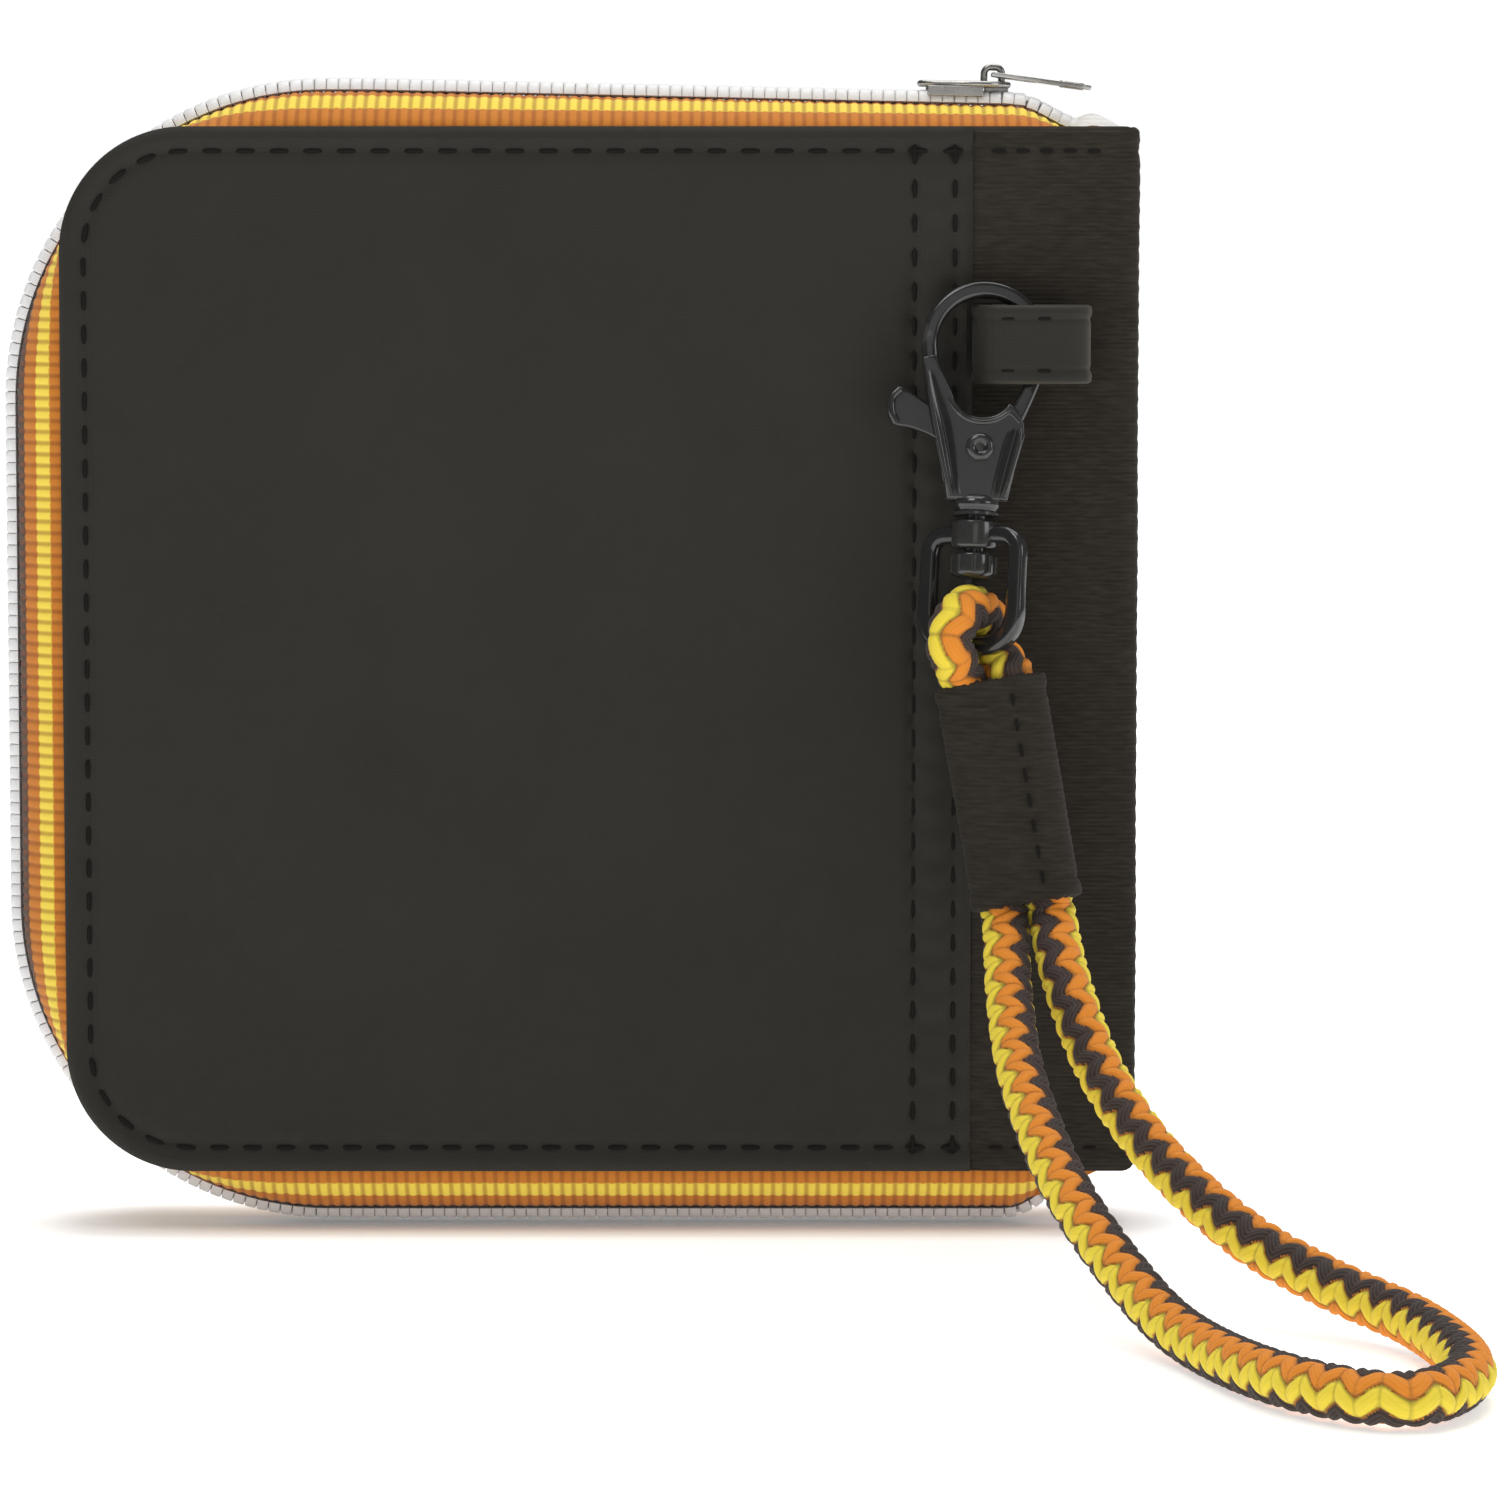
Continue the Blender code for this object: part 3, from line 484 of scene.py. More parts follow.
def rounded_box(half_a, half_b, radius, steps=4):
    """A rounded rectangle's outline."""
    a, b = half_a - radius, half_b - radius
    points = []
    for centre, start in (((a, b), 0), ((-a, b), 90), ((-a, -b), 180), ((a, -b), 270)):
        points += arc(centre, radius, start, start + 90, steps)
    return np.array(points)


def joined(parts):
    """Several (points, faces) as one."""
    points, faces, start = [], [], 0
    for part_points, part_faces in parts:
        points.append(np.asarray(part_points, float))
        faces += [tuple(i + start for i in f) for f in part_faces]
        start += len(part_points)
    return np.concatenate(points), faces


def capped_tube(rows):
    """Points and faces of a tube through rings of points, closed at both ends."""
    count, sides = len(rows), len(rows[0])
    faces = grid_faces(count, sides, wrap_across=True)
    faces += [tuple(range(sides - 1, -1, -1)), tuple(range((count - 1) * sides, count * sides))]
    return np.array(rows).reshape(-1, 3), faces


def stitches(path, pitch, normal, length=2.3, width=0.42, height=0.30, start=0.0):
    """Thread stitches along a path: small rounded bars that dip into the cloth at both ends."""
    base = circle(1.0, 8)
    parts = []
    for place, direction in zip(*along_path(path, pitch, start)):
        side = np.cross(direction, normal)
        rows = []
        for t in np.linspace(-1, 1, 7):
            fat = math.sqrt(max(0.05, 1 - t**4))
            centre = place + direction * (t * length / 2) - normal * (0.28 * t**4)
            wide = np.outer(base[:, 0] * width / 2 * fat, side)
            rows.append(centre + wide + np.outer(base[:, 1] * height / 2 * fat, normal))
        parts.append(capped_tube(rows))
    return joined(parts)


def at_depth(line, y):
    """A line of (x, z) as points at one depth."""
    return np.array([(px, y, pz) for px, pz in line])


def on_line(wanted, distance, points):
    """The places at wanted distances along a line."""
    return np.stack([np.interp(wanted, distance, points[:, k]) for k in range(points.shape[1])], 1)


def along_path(points, pitch, start=0.0):
    """Places about pitch apart on an open path, with directions."""
    points = np.asarray(points, float)
    steps = np.linalg.norm(np.diff(points, axis=0), axis=1)
    distance = np.concatenate([[0], np.cumsum(steps)])
    count = max(1, int((distance[-1] - 2 * start) // pitch))
    wanted = start + (np.arange(count) + 0.5) * (distance[-1] - 2 * start) / count
    places = on_line(wanted, distance, points)
    return places, normalise(on_line(wanted + 0.05, distance, points) - places)


# ---------------------------------------------------------------- panels


def joined_steps(*runs):
    """Even steps from each run's start to its end, one run after the other."""
    parts = [np.linspace(start, end, count + 1) for start, end, count in runs]
    return np.concatenate([part[:-1] for part in parts[:-1]] + parts[-1:])


def corner_grid(left, right, low, high, radius, pitch):
    """A grid of (x, z) whose two left corners are rounded without ragged cells."""
    inner = int(round((right - left - radius) / pitch))
    bend = max(6, int(round(radius / pitch)))
    tall = int(round((high - low - 2 * radius) / pitch))
    xs = joined_steps((left, left + radius, bend), (left + radius, right, inner))
    foot, head = low + radius, high - radius
    zs = joined_steps((low, foot, bend), (foot, head, tall), (head, high, bend))
    x, z = np.meshgrid(xs, zs, indexing="ij")
    for centre_z, sign in ((low + radius, -1), (high - radius, 1)):
        s = (left + radius - x) / radius
        t = sign * (z - centre_z) / radius
        inside = (s > 0) & (t > 0)
        s, t = np.where(inside, s, 0), np.where(inside, t, 0)
        x = np.where(inside, left + radius - radius * s * np.sqrt(1 - t**2 / 2), x)
        z = np.where(inside, centre_z + sign * radius * t * np.sqrt(1 - s**2 / 2), z)
    return x, z


def inset_of(x, z, left, right, low, high, radius, open_right=False):
    """How far inside the panel's outline a point is. An open right side doesn't count as an edge."""
    d = np.minimum(np.minimum(x - left, z - low), high - z)
    if not open_right:
        d = np.minimum(d, right - x)
    for centre_z, sign in ((low + radius, -1), (high - radius, 1)):
        cx = left + radius
        inside = (x < cx) & (sign * (z - centre_z) > 0)
        d = np.where(inside, radius - np.hypot(x - cx, z - centre_z), d)
    return d


def ripple(x, z, seed=0.0):
    """Slow unevenness of stretched cloth, between about -1 and 1, the same on every run."""
    a = np.sin(0.071 * x + 0.113 * z + seed) + 0.8 * np.sin(0.137 * x - 0.062 * z + 2.1 * seed + 1.3)
    b = 0.6 * np.sin(0.205 * z + 0.048 * x + 0.7 * seed) + 0.5 * np.sin(0.31 * x + 0.17 * z + 3.1 * seed)
    return (a + b) / 2.9


STITCH_INSET = 2.6
STITCH_PITCH = 3.55
STITCH_ROWS = (SEAM - 6.2, SEAM - 1.9)
FABRIC_RIB = 0.92
# The simulated cloth is this many frames old, and larger than life so that the solver's limits don't matter
CLOTH_FRAMES = 26
CLOTH_SCALE = 0.01


def cloth_swell(x, z, pinned, reach):
    """How far cloth swells, from a cloth simulation on a coarse copy of the grid, as heights from 0 to reach."""
    step = 2
    rows = list(range(0, x.shape[0] - 1, step)) + [x.shape[0] - 1]
    cols = list(range(0, x.shape[1] - 1, step)) + [x.shape[1] - 1]
    small_x, small_z, held = (a[np.ix_(rows, cols)] for a in (x, z, pinned))
    points = np.stack([small_x, np.zeros_like(small_x), small_z], -1).reshape(-1, 3)
    mesh = bpy.data.meshes.new("swell")
    mesh.from_pydata([tuple(p) for p in points * CLOTH_SCALE], [], grid_faces(*small_x.shape))
    obj = shown("swell", mesh)
    group = obj.vertex_groups.new(name="held")
    group.add([int(i) for i in np.flatnonzero(held.ravel())], 1.0, "REPLACE")
    modifier = obj.modifiers.new("Cloth", "CLOTH")
    settings = modifier.settings
    settings.quality = 6
    settings.mass = 0.15
    settings.tension_stiffness = settings.compression_stiffness = settings.shear_stiffness = 12
    settings.bending_stiffness = 0.4
    settings.vertex_group_mass = "held"
    settings.use_pressure = True
    settings.uniform_pressure_force = 3.0
    settings.shrink_min = -0.012
    settings.effector_weights.gravity = 0.0
    modifier.collision_settings.use_collision = False
    scene = bpy.context.scene
    modifier.point_cache.frame_start, modifier.point_cache.frame_end = 1, CLOTH_FRAMES
    for number in range(1, CLOTH_FRAMES + 1):
        scene.frame_set(number)
    evaluated = obj.evaluated_get(bpy.context.evaluated_depsgraph_get())
    moved = np.array([v.co for v in evaluated.data.vertices]).reshape(*small_x.shape, 3)
    bpy.data.objects.remove(obj)
    scene.frame_set(1)
    swelled = np.abs(moved[..., 1] / CLOTH_SCALE)
    swelled = swelled / max(swelled.max(), 1e-6) * reach
    fine_rows, fine_cols = np.arange(x.shape[0]), np.arange(x.shape[1])
    half = np.array([np.interp(fine_cols, cols, line) for line in swelled])
    return np.array([np.interp(fine_rows, rows, half[:, c]) for c in range(half.shape[1])]).T


def cover(half):
    """A padded fabric cover with a sunk line of stitches round its open sides and two rows beside the spine."""
    outward = -1 if half == "front" else 1
    face = FRONT_FACE if half == "front" else BACK_FACE
    seed = 0.4 if half == "front" else 2.2
    x, z = corner_grid(LEFT, SEAM, BOTTOM, TOP, CORNER, 0.7)
    edge = inset_of(x, z, LEFT, SEAM, BOTTOM, TOP, CORNER)
    side = inset_of(x, z, LEFT, SEAM, BOTTOM, TOP, CORNER, open_right=True)
    row_a, row_b = STITCH_ROWS
    pinned = (side < STITCH_INSET + 0.6) | (x > row_a - 0.6)
    swell = cloth_swell(x, z, pinned, 0.85)
    height = swell + 0.10 * ripple(x, z, seed) * smoothstep(side, 3, 12)
    height = height - 0.42 * bell(side, STITCH_INSET, 0.55)
    gather = 0.5 + 0.5 * np.sin(2 * math.pi * (x + z) / STITCH_PITCH)
    height = height - 0.10 * gather * bell(side, STITCH_INSET, 1.1)
    height = height + 0.22 * bell(side, 1.2, 0.8)
    beat = 0.5 + 0.5 * np.cos(2 * math.pi * z / STITCH_PITCH)
    for row in STITCH_ROWS:
        depth = 0.22 + 0.34 * beat
        height = height - depth * bell(x, row, 0.6) * smoothstep(side, 0.8, 2.0)
    pucker = np.sin(2 * math.pi * z / STITCH_PITCH) + 0.6 * np.sin(2 * math.pi * z / (2.6 * STITCH_PITCH) + 1)
    middle = (row_a + row_b) / 2
    height = height + (0.20 + 0.13 * pucker) * bell(x, middle, 1.5) * smoothstep(side, 1.5, 3.5)
    roll = 0.55
    inside = np.clip(edge, 0, roll)
    height = height - (roll - np.sqrt(np.maximum(roll**2 - (roll - inside) ** 2, 0)))
    outer = np.stack([x, face + outward * height, z], -1)
    shrink = np.clip(0.5 - edge, 0, 0.5)[..., None]
    inner = np.stack([x, np.full_like(x, face - outward * 1.15), z], -1)
    middle_point = np.array([(LEFT + SEAM) / 2, 0, 0])
    inner = inner + normalise((middle_point - inner) * (1, 0, 1)) * shrink
    piece(half + "_cover_cloth", closed_slab(outer, inner), COATED, half, "coated_fabric", half + "_cover")
    cover_stitches(half, outward, face)


def inset_outline(inset, right, steps=10):
    """The cover's open sides, inset, as (x, z)."""
    radius = CORNER - inset
    path = [(right, TOP - inset)]
    path += arc((LEFT + CORNER, TOP - CORNER), radius, 90, 180, steps)
    path += arc((LEFT + CORNER, BOTTOM + CORNER), radius, 180, 270, steps)
    return path + [(right, BOTTOM + inset)]


def cover_stitches(half, outward, face):
    """Stitches round a cover, in two rows beside the spine and across the ends of the spine's strip."""
    normal = np.array([0.0, outward, 0.0])
    parts = []
    lines = [inset_outline(STITCH_INSET, SEAM - 0.4)]
    lines += [[(row, TOP - 1.2), (row, BOTTOM + 1.2)] for row in STITCH_ROWS]
    for line in lines:
        parts.append(stitches(at_depth(line, face - outward * 0.20), STITCH_PITCH, normal, 2.4, 0.46, 0.34))
    # Across the spine's strip, near its ends
    for level in (TOP - STITCH_INSET, BOTTOM + STITCH_INSET):
        line = at_depth([(SEAM + 1.5, level), (SPINE_FACE - 3.6, level)], face - outward * 0.22)
        parts.append(stitches(line, STITCH_PITCH * 0.7, normal, 1.7, 0.36, 0.3))
    piece(half + "_cover_stitches", joined(parts), THREAD, half, "coated_fabric")


def spine_wrap(half):
    """The ribbed fabric from a cover's seam round the corner to the middle of the spine."""
    outward = -1 if half == "front" else 1
    face = FRONT_FACE if half == "front" else BACK_FACE
    bend = 1.3
    outline = [(SEAM - 0.7, 0.95), (SEAM + 0.1, 0.62), (SEAM + 0.8, 0.42), (SEAM + 3, 0.30), (SEAM + 8, 0.22)]
    outline += [(SEAM + 12, 0.2), (SPINE_FACE - bend, 0.2)]
    outline += arc((SPINE_FACE - bend, 0.2 + bend), bend, -78, 0, 6)
    middle_depth = abs(face - MIDDLE)
    outline += [(SPINE_FACE + 0.12, depth) for depth in np.linspace(2.6, middle_depth, 10)]
    outline = resample(outline, 0.55)
    levels = np.linspace(BOTTOM, TOP, 190)
    sx, sd = outline[:, :1], outline[:, 1:]
    corner = np.maximum(sx - (SPINE_FACE - 1.7), 0) / 1.7
    lift = 1.0 * (1 - np.sqrt(np.maximum(0, 1 - corner**2)))
    lift = np.where(sd > 2.2, lift * smoothstep(5.5 - sd, 0, 3.3), lift)
    share = levels[None, :] / TOP
    zz = np.sign(share) * (np.abs(levels)[None, :] - lift * smoothstep(np.abs(share), 0.93, 1.0))
    ribs = 0.045 * np.sin(2 * math.pi * zz / FABRIC_RIB)
    slack = 0.10 * ripple(zz, sx * 2 + sd, 3.0) * smoothstep(TOP - np.abs(zz), 0.5, 6)
    hem = 0.5 - np.sqrt(np.maximum(0.25 - (0.5 - np.clip(TOP - np.abs(zz), 0, 0.5)) ** 2, 0))
    dip = 0.16 * bell(TOP - np.abs(zz), STITCH_INSET, 0.5)
    amount = ribs + slack - hem - dip
    tangent = normalise(np.gradient(outline, axis=0))
    out_x, out_d = tangent[:, 1:], -tangent[:, :1]
    outer = np.stack([sx + out_x * amount, face - outward * (sd + out_d * amount), zz], -1)
    under_x, under_d = (np.broadcast_to(side, zz.shape) for side in (sx - out_x * 0.5, sd - out_d * 0.5))
    inner = np.stack([under_x, face - outward * under_d, zz * 0.998], -1)
    replaced = (half + "_spine_strip", "spine_strip")
    wrap = piece(half + "_spine_wrap", closed_slab(outer, inner), RIBBED, None, "ribbed_fabric", *replaced)
    if half == "front":
        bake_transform(wrap)
    else:
        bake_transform(wrap)


def resample(points, pitch):
    """An open path as evenly spaced points about pitch apart."""
    points = np.asarray(points, float)
    steps = np.linalg.norm(np.diff(points, axis=0), axis=1)
    distance = np.concatenate([[0], np.cumsum(steps)])
    count = max(2, int(round(distance[-1] / pitch)) + 1)
    return on_line(np.linspace(0, distance[-1], count), distance, points)


# ---------------------------------------------------------------- zip

OUTSET_TOP = TEETH_HIGH[2] - 1.9 - TOP
OUTSET_SIDE = LEFT - TEETH_LOW[0] - 1.9
OUTSET_BOTTOM = BOTTOM - TEETH_LOW[2] - 1.9
TAPE_SECTION = ((9.2, 0.0), (8.9, 0.33), (7.6, 0.6), (5.8, 0.82), (4.2, 0.96), (2.8, 1.0), (1.6, 1.0), (0.55, 1.0))
ZIP_END = SPINE_FACE - 1.4


def zip_path(extra, drop, end, counts, radius):
    """Points (x, z) round the open sides at extra beyond the tape's crest."""
    top = TOP + OUTSET_TOP + extra
    bottom = BOTTOM - OUTSET_BOTTOM - extra
    left = LEFT - OUTSET_SIDE - extra
    return round_path(top, bottom, left, radius + extra, drop, end, counts)


def round_path(top, bottom, left, radius, drop, end, counts):
    """Points (x, z) along the top from the spine, round both left corners and back along the bottom."""
    straight, bend, upright = counts
    xs = np.linspace(end, left + radius, straight, endpoint=False)
    ramp = smoothstep(xs, RAMP[1], RAMP[0])
    past = drop * 0.10 * np.maximum(xs - RAMP[0], 0)
    fall = drop * ramp + past
    slope = drop / RAMP_DROP * TOP_SLOPE * np.maximum(xs - SLOPE_START, 0)
    top_fall = slope + (drop - slope) * ramp + past
    angles = np.radians(np.linspace(90, 180, bend, endpoint=False))
    zs = np.linspace(top - radius, bottom + radius, upright, endpoint=False)
    down = np.radians(np.linspace(180, 270, bend, endpoint=False))
    x_parts = [xs, left + radius + radius * np.cos(angles), np.full(upright, left)]
    z_parts = [top - top_fall, top - radius + radius * np.sin(angles), zs]
    x_parts += [left + radius + radius * np.cos(down), np.append(xs[::-1], end)[1:]]
    z_parts += [bottom + radius + radius * np.sin(down), bottom + np.append(fall[::-1], fall[0])[1:]]
    return np.stack([np.concatenate(x_parts), np.concatenate(z_parts)], 1)


def zip_tape(half):
    """One half's tape: a ribbed, striped gusset that bulges out from the seam to the teeth."""
    sign = -1 if half == "front" else 1
    counts = (390, 196, 247)
    tuck = 1.5
    seam = round_path(TOP - tuck, BOTTOM + tuck, LEFT + tuck, CORNER - tuck, 0.0, ZIP_END, counts)
    dense = tuple(8 * count for count in counts)
    crest, out = opposite(seam, zip_path(0.0, RAMP_DROP, ZIP_END, dense, GUSSET_RADIUS))
    # Even steps along the section, as it is where the tape stands about 6.3 mm out
    section = resample(smooth_curve(np.array(TAPE_SECTION) * (1, 6.3), 8), 0.62) / (1, 6.3)
    away, share = section[:, 0], section[:, 1]
    flat = seam[:, None] + (crest - seam)[:, None] * share[None, :, None]
    grid = np.stack([flat[..., 0], np.broadcast_to(MIDDLE + sign * away, flat.shape[:2]), flat[..., 1]], -1)
    middle_line = (seam + crest) / 2
    along = np.concatenate([[0], np.cumsum(np.linalg.norm(np.diff(middle_line, axis=0), axis=1))])
    steps = np.linalg.norm(np.diff(grid, axis=1), axis=-1)
    across = np.concatenate([np.zeros((len(grid), 1)), np.cumsum(steps, axis=1)], axis=1)
    # The stripes are narrowest at the side and widest on top
    up, down = np.maximum(out[:, 1], 0), np.maximum(-out[:, 1], 0)
    gather = 1.02 * up**2 + 1.45 * out[:, 0] ** 2 + 1.27 * down**2
    across = across * gather[:, None]
    normals = grid_normals(grid)
    if normals[10, 5, 2] < 0:
        normals = -normals
    ribs = 0.075 * np.sin(2 * math.pi * along / RIB_PITCH)[:, None] * smoothstep(across, 0.3, 1.2)
    seams = -0.10 * bell(across, 4.1, 0.35) - 0.10 * bell(across, 7.0, 0.35)
    outer = grid + normals * (0.30 + ribs + seams)[..., None]
    inner = grid - normals * 0.25
    along_grid = np.broadcast_to(along[:, None], across.shape).ravel()
    marks = {"across": np.tile(across.ravel(), 2), "along": np.tile(along_grid, 2)}
    slab = closed_slab(outer, inner)
    piece(half + "_tape_cloth", slab, TAPE, half, "striped_tape", half + "_zip_tape", attributes=marks)


def opposite(seam, path):
    """For each seam point, the point of the path straight out from it, and the outward direction."""
    tangents = normalise(np.gradient(seam, axis=0))
    out = np.stack([-tangents[:, 1], tangents[:, 0]], 1)
    out *= np.sign(np.sum(out * seam, axis=1))[:, None]
    apart = path[None, :] - seam[:, None]
    aside = np.abs(np.sum(apart * tangents[:, None], axis=-1))
    aside = aside + 100.0 * (np.linalg.norm(apart, axis=-1) > 11.0)
    return path[aside.argmin(axis=1)], out


def smooth_curve(points, count):
    """Catmull-Rom through the points of an open path."""
    points = np.asarray(points, float)
    padded = np.concatenate([[2 * points[0] - points[1]], points, [2 * points[-1] - points[-2]]])
    return np.concatenate(catmull_rom(padded, count) + [points[-1:]])


def catmull_rom(controls, count):
    """The curve's parts between the second and the last but one of the controls."""
    t = np.linspace(0, 1, count, endpoint=False)[:, None]
    parts = []
    for i in range(1, len(controls) - 2):
        before, start, end, after = controls[i - 1 : i + 3]
        square = (2 * before - 5 * start + 4 * end - after) * t**2
        cube = (3 * start - before - 3 * end + after) * t**3
        parts.append(0.5 * (2 * start + (end - before) * t + square + cube))
    return parts


COIL_PITCH = 1.27
COIL_WIRE = ((2.95, 0.5), (2.8, 1.0), (2.35, 1.42), (1.3, 1.56), (0.4, 1.5), (-0.1, 1.2), (0.15, 0.88))
COIL_WIRE += ((0.9, 0.72), (2.1, 0.62))


def coil(name, path, outward, y, sign, shift, replaced, body, size=1.0, pitch=COIL_PITCH):
    """Teeth along a path of (x, z): loops of nylon wire that reach past the middle, between the others."""
    places, directions = along_path(path, pitch)
    places = places + directions * shift
    wire = smooth_curve(np.array(COIL_WIRE) * size, 2)
    wire3 = np.stack([np.zeros(len(wire)), sign * wire[:, 0], wire[:, 1]], 1)
    section = rounded_box(0.29 * size, 0.615 * size, 0.20 * size, 2)
    tooth, faces = sweep(wire3, section, first_normal=(0, 0, 1))
    parts = []
    for (px, pz), (dx, dz), normal in zip(places, directions, outward(places, directions)):
        turned = tooth[:, :1] * np.array([dx, 0, dz]) + tooth[:, 2:] * np.array([normal[0], 0, normal[1]])
        turned[:, 1] += tooth[:, 1]
        parts.append((turned + np.array([px, y, pz]), faces))
    piece(name, joined(parts), NYLON, body, "zip_teeth", replaced)


def away_from_middle(places, directions):
    normals = np.stack([-directions[:, 1], directions[:, 0]], 1)
    flip = np.sum(normals * places, axis=1) < 0
    normals[flip] *= -1
    return normals


def straight_up(places, _directions):
    return np.tile([0.0, 1.0], (len(places), 1))


def zip_teeth(half):
    path = zip_path(0.0, RAMP_DROP, ZIP_END - 1.2, (60, 40, 20), GUSSET_RADIUS)
    sign, shift = (-1, 0.0) if half == "front" else (1, COIL_PITCH / 2)
    coil(half + "_coil", path, away_from_middle, MIDDLE, sign, shift, half + "_zip_teeth", half)


def zip_end_fold(level):
    """The zip's pale tape end, folded over and caught in the corner beside the spine."""
    sign = 1 if level > 0 else -1
    edge = [(50.2, 0.6), (51.5, 1.6), (53.0, 1.9), (54.6, 1.2), (56.0, 0.2), (56.6, -1.0)]
    grid = []
    for px, rise in smooth_curve(edge, 4):
        row = []
        for t in np.linspace(-1, 1, 15):
            fall = 1.2 * t * t + 0.12 * math.sin(7 * t + px)
            row.append((px, MIDDLE + 5.2 * t, level + sign * (rise - fall)))
        grid.append(row)
    grid = np.array(grid)
    normals = grid_normals(grid)
    return closed_slab(grid + normals * 0.2, grid - normals * 0.2)


def flat_shape(loops, half_depth, edge, resolution=3):
    """A flat shape in the xy plane with rounded edges, as points and faces in millimetres."""
    curve = bpy.data.curves.new("shape", "CURVE")
    curve.dimensions = "2D"
    curve.fill_mode = "BOTH"
    curve.extrude = half_depth - edge
    curve.bevel_depth = edge
    curve.bevel_resolution = resolution
    curve.offset = -edge
    for points in loops:
        spline = curve.splines.new("POLY")
        spline.points.add(len(points) - 1)
        for slot_point, (px, py) in zip(spline.points, points):
            slot_point.co = (px, py, 0.0, 1.0)
        spline.use_cyclic_u = True
    obj = shown("shape", curve)
    bpy.context.view_layer.update()
    mesh = bpy.data.meshes.new_from_object(obj.evaluated_get(bpy.context.evaluated_depsgraph_get()))
    shape = bmesh.new()
    shape.from_mesh(mesh)
    bmesh.ops.remove_doubles(shape, verts=shape.verts, dist=1e-4)
    shape.to_mesh(mesh)
    shape.free()
    points = np.array([v.co for v in mesh.vertices])
    faces = [tuple(p.vertices) for p in mesh.polygons]
    bpy.data.objects.remove(obj)
    return points, faces


def placed(part, origin, x_axis, y_axis, z_axis):
    points, faces = part
    return origin + points[:, :1] * x_axis + points[:, 1:2] * y_axis + points[:, 2:] * z_axis, faces


def metal_piece(name, parts, body, material, slot, *replaced):
    obj = piece(name, joined(parts), material, body, slot, *replaced)
    weigh = obj.modifiers.new("Normals", "WEIGHTED_NORMAL")
    weigh.keep_sharp = True


X, Y, Z = np.eye(3)


MAIN_SLIDER = {"half_width": 3.5, "foot_half": 3.4, "length": 10.0, "teeth": 1.1, "tape": 1.05, "plate": 0.7}
MAIN_SLIDER |= {"window": 1.2, "leg": 0.7, "bridge_half": 0.9, "flange": 1.1}
MAIN_SLIDER |= {"pull_length": 10.6, "pull_thick": 0.6, "droop": 6.5}
COIN_SLIDER = {"half_width": 2.3, "foot_half": 1.55, "length": 6.5, "teeth": 0.85, "tape": 0.7, "plate": 0.7}
COIN_SLIDER |= {"window": 1.5, "leg": 0.7, "bridge_half": 0.6, "flange": 0.4}
COIN_SLIDER |= {"pull_length": 7.5, "pull_thick": 0.8, "droop": 8.0}


def zip_slider(node, name, travel, swing, size):
    """A slider: a shield-shaped top plate, a foot, a wedge between them and a bridge for the pull."""
    ahead = -joint_axis(travel)
    up = np.cross(ahead, Y)
    pivot = joint_point(swing)
    wide, length, window, leg, thick = (size[key] for key in ("half_width", "length", "window", "leg", "plate"))
    nose = 0.06 * length + leg + 0.36 * window
    plate_top = -0.62 * window
    foot_low = plate_top - thick - 0.3 - size["teeth"] - size["tape"] - 0.35 - thick
    tail = nose - length
    outline = [(nose, -0.45 * wide), (nose, 0.45 * wide), (nose - 0.14 * length, 0.88 * wide)]
    outline += [(nose - 0.28 * length, wide), (nose - 0.5 * length, 0.97 * wide)]
    outline += [(tail + 0.22 * length, 0.72 * wide), (tail + 0.05 * length, 0.62 * wide), (tail, 0.45 * wide)]
    outline += [(px, -py) for px, py in reversed(outline[2:])]
    plate = flat_shape([outline], thick / 2, 0.45 * thick)
    parts = [placed(plate, pivot + up * (plate_top - thick / 2), ahead, Y, up)]
    for side in (-1, 1):
        flange = flat_shape([rounded_box(0.30 * length, 0.22, 0.15)], size["flange"] / 2, 0.12)
        place = pivot + ahead * (tail + 0.40 * length) + Y * side * (wide - 0.24)
        parts.append(placed(flange, place + up * (plate_top - thick - size["flange"] / 2 + 0.1), ahead, Y, up))
    narrow = size["foot_half"] / wide
    sole = [(tail + (px - tail) * 0.97, py * narrow) for px, py in outline]
    foot = flat_shape([sole], thick / 2, 0.4 * thick)
    parts.append(placed(foot, pivot + up * (foot_low + thick / 2), ahead, Y, up))
    wedge = flat_shape([rounded_box(0.13 * length, 0.2, 0.15)], (plate_top - foot_low - 0.4) / 2, 0.1)
    place = pivot + ahead * (nose - 0.15 * length) + up * (plate_top + foot_low) / 2
    parts.append(placed(wedge, place, ahead, Y, up))
    right = nose - 0.06 * length - leg / 2
    left = right - window - leg
    roof = plate_top + window + leg / 2
    bend = 0.55 * window
    arch = [(left, plate_top - 0.3)] + arc((left + bend, roof - bend), bend, 180, 90, 6)
    arch += arc((right - bend, roof - bend), bend, 90, 0, 6) + [(right, plate_top - 0.3)]
    path = resample([pivot + ahead * px + up * pz for px, pz in arch], 0.2)
    section = rounded_box(leg / 2, size["bridge_half"], 0.4 * leg)
    parts.append(sweep(path, section, first_normal=ahead))
    metal_piece(name, parts, node, NICKEL, "slider_metal", node)


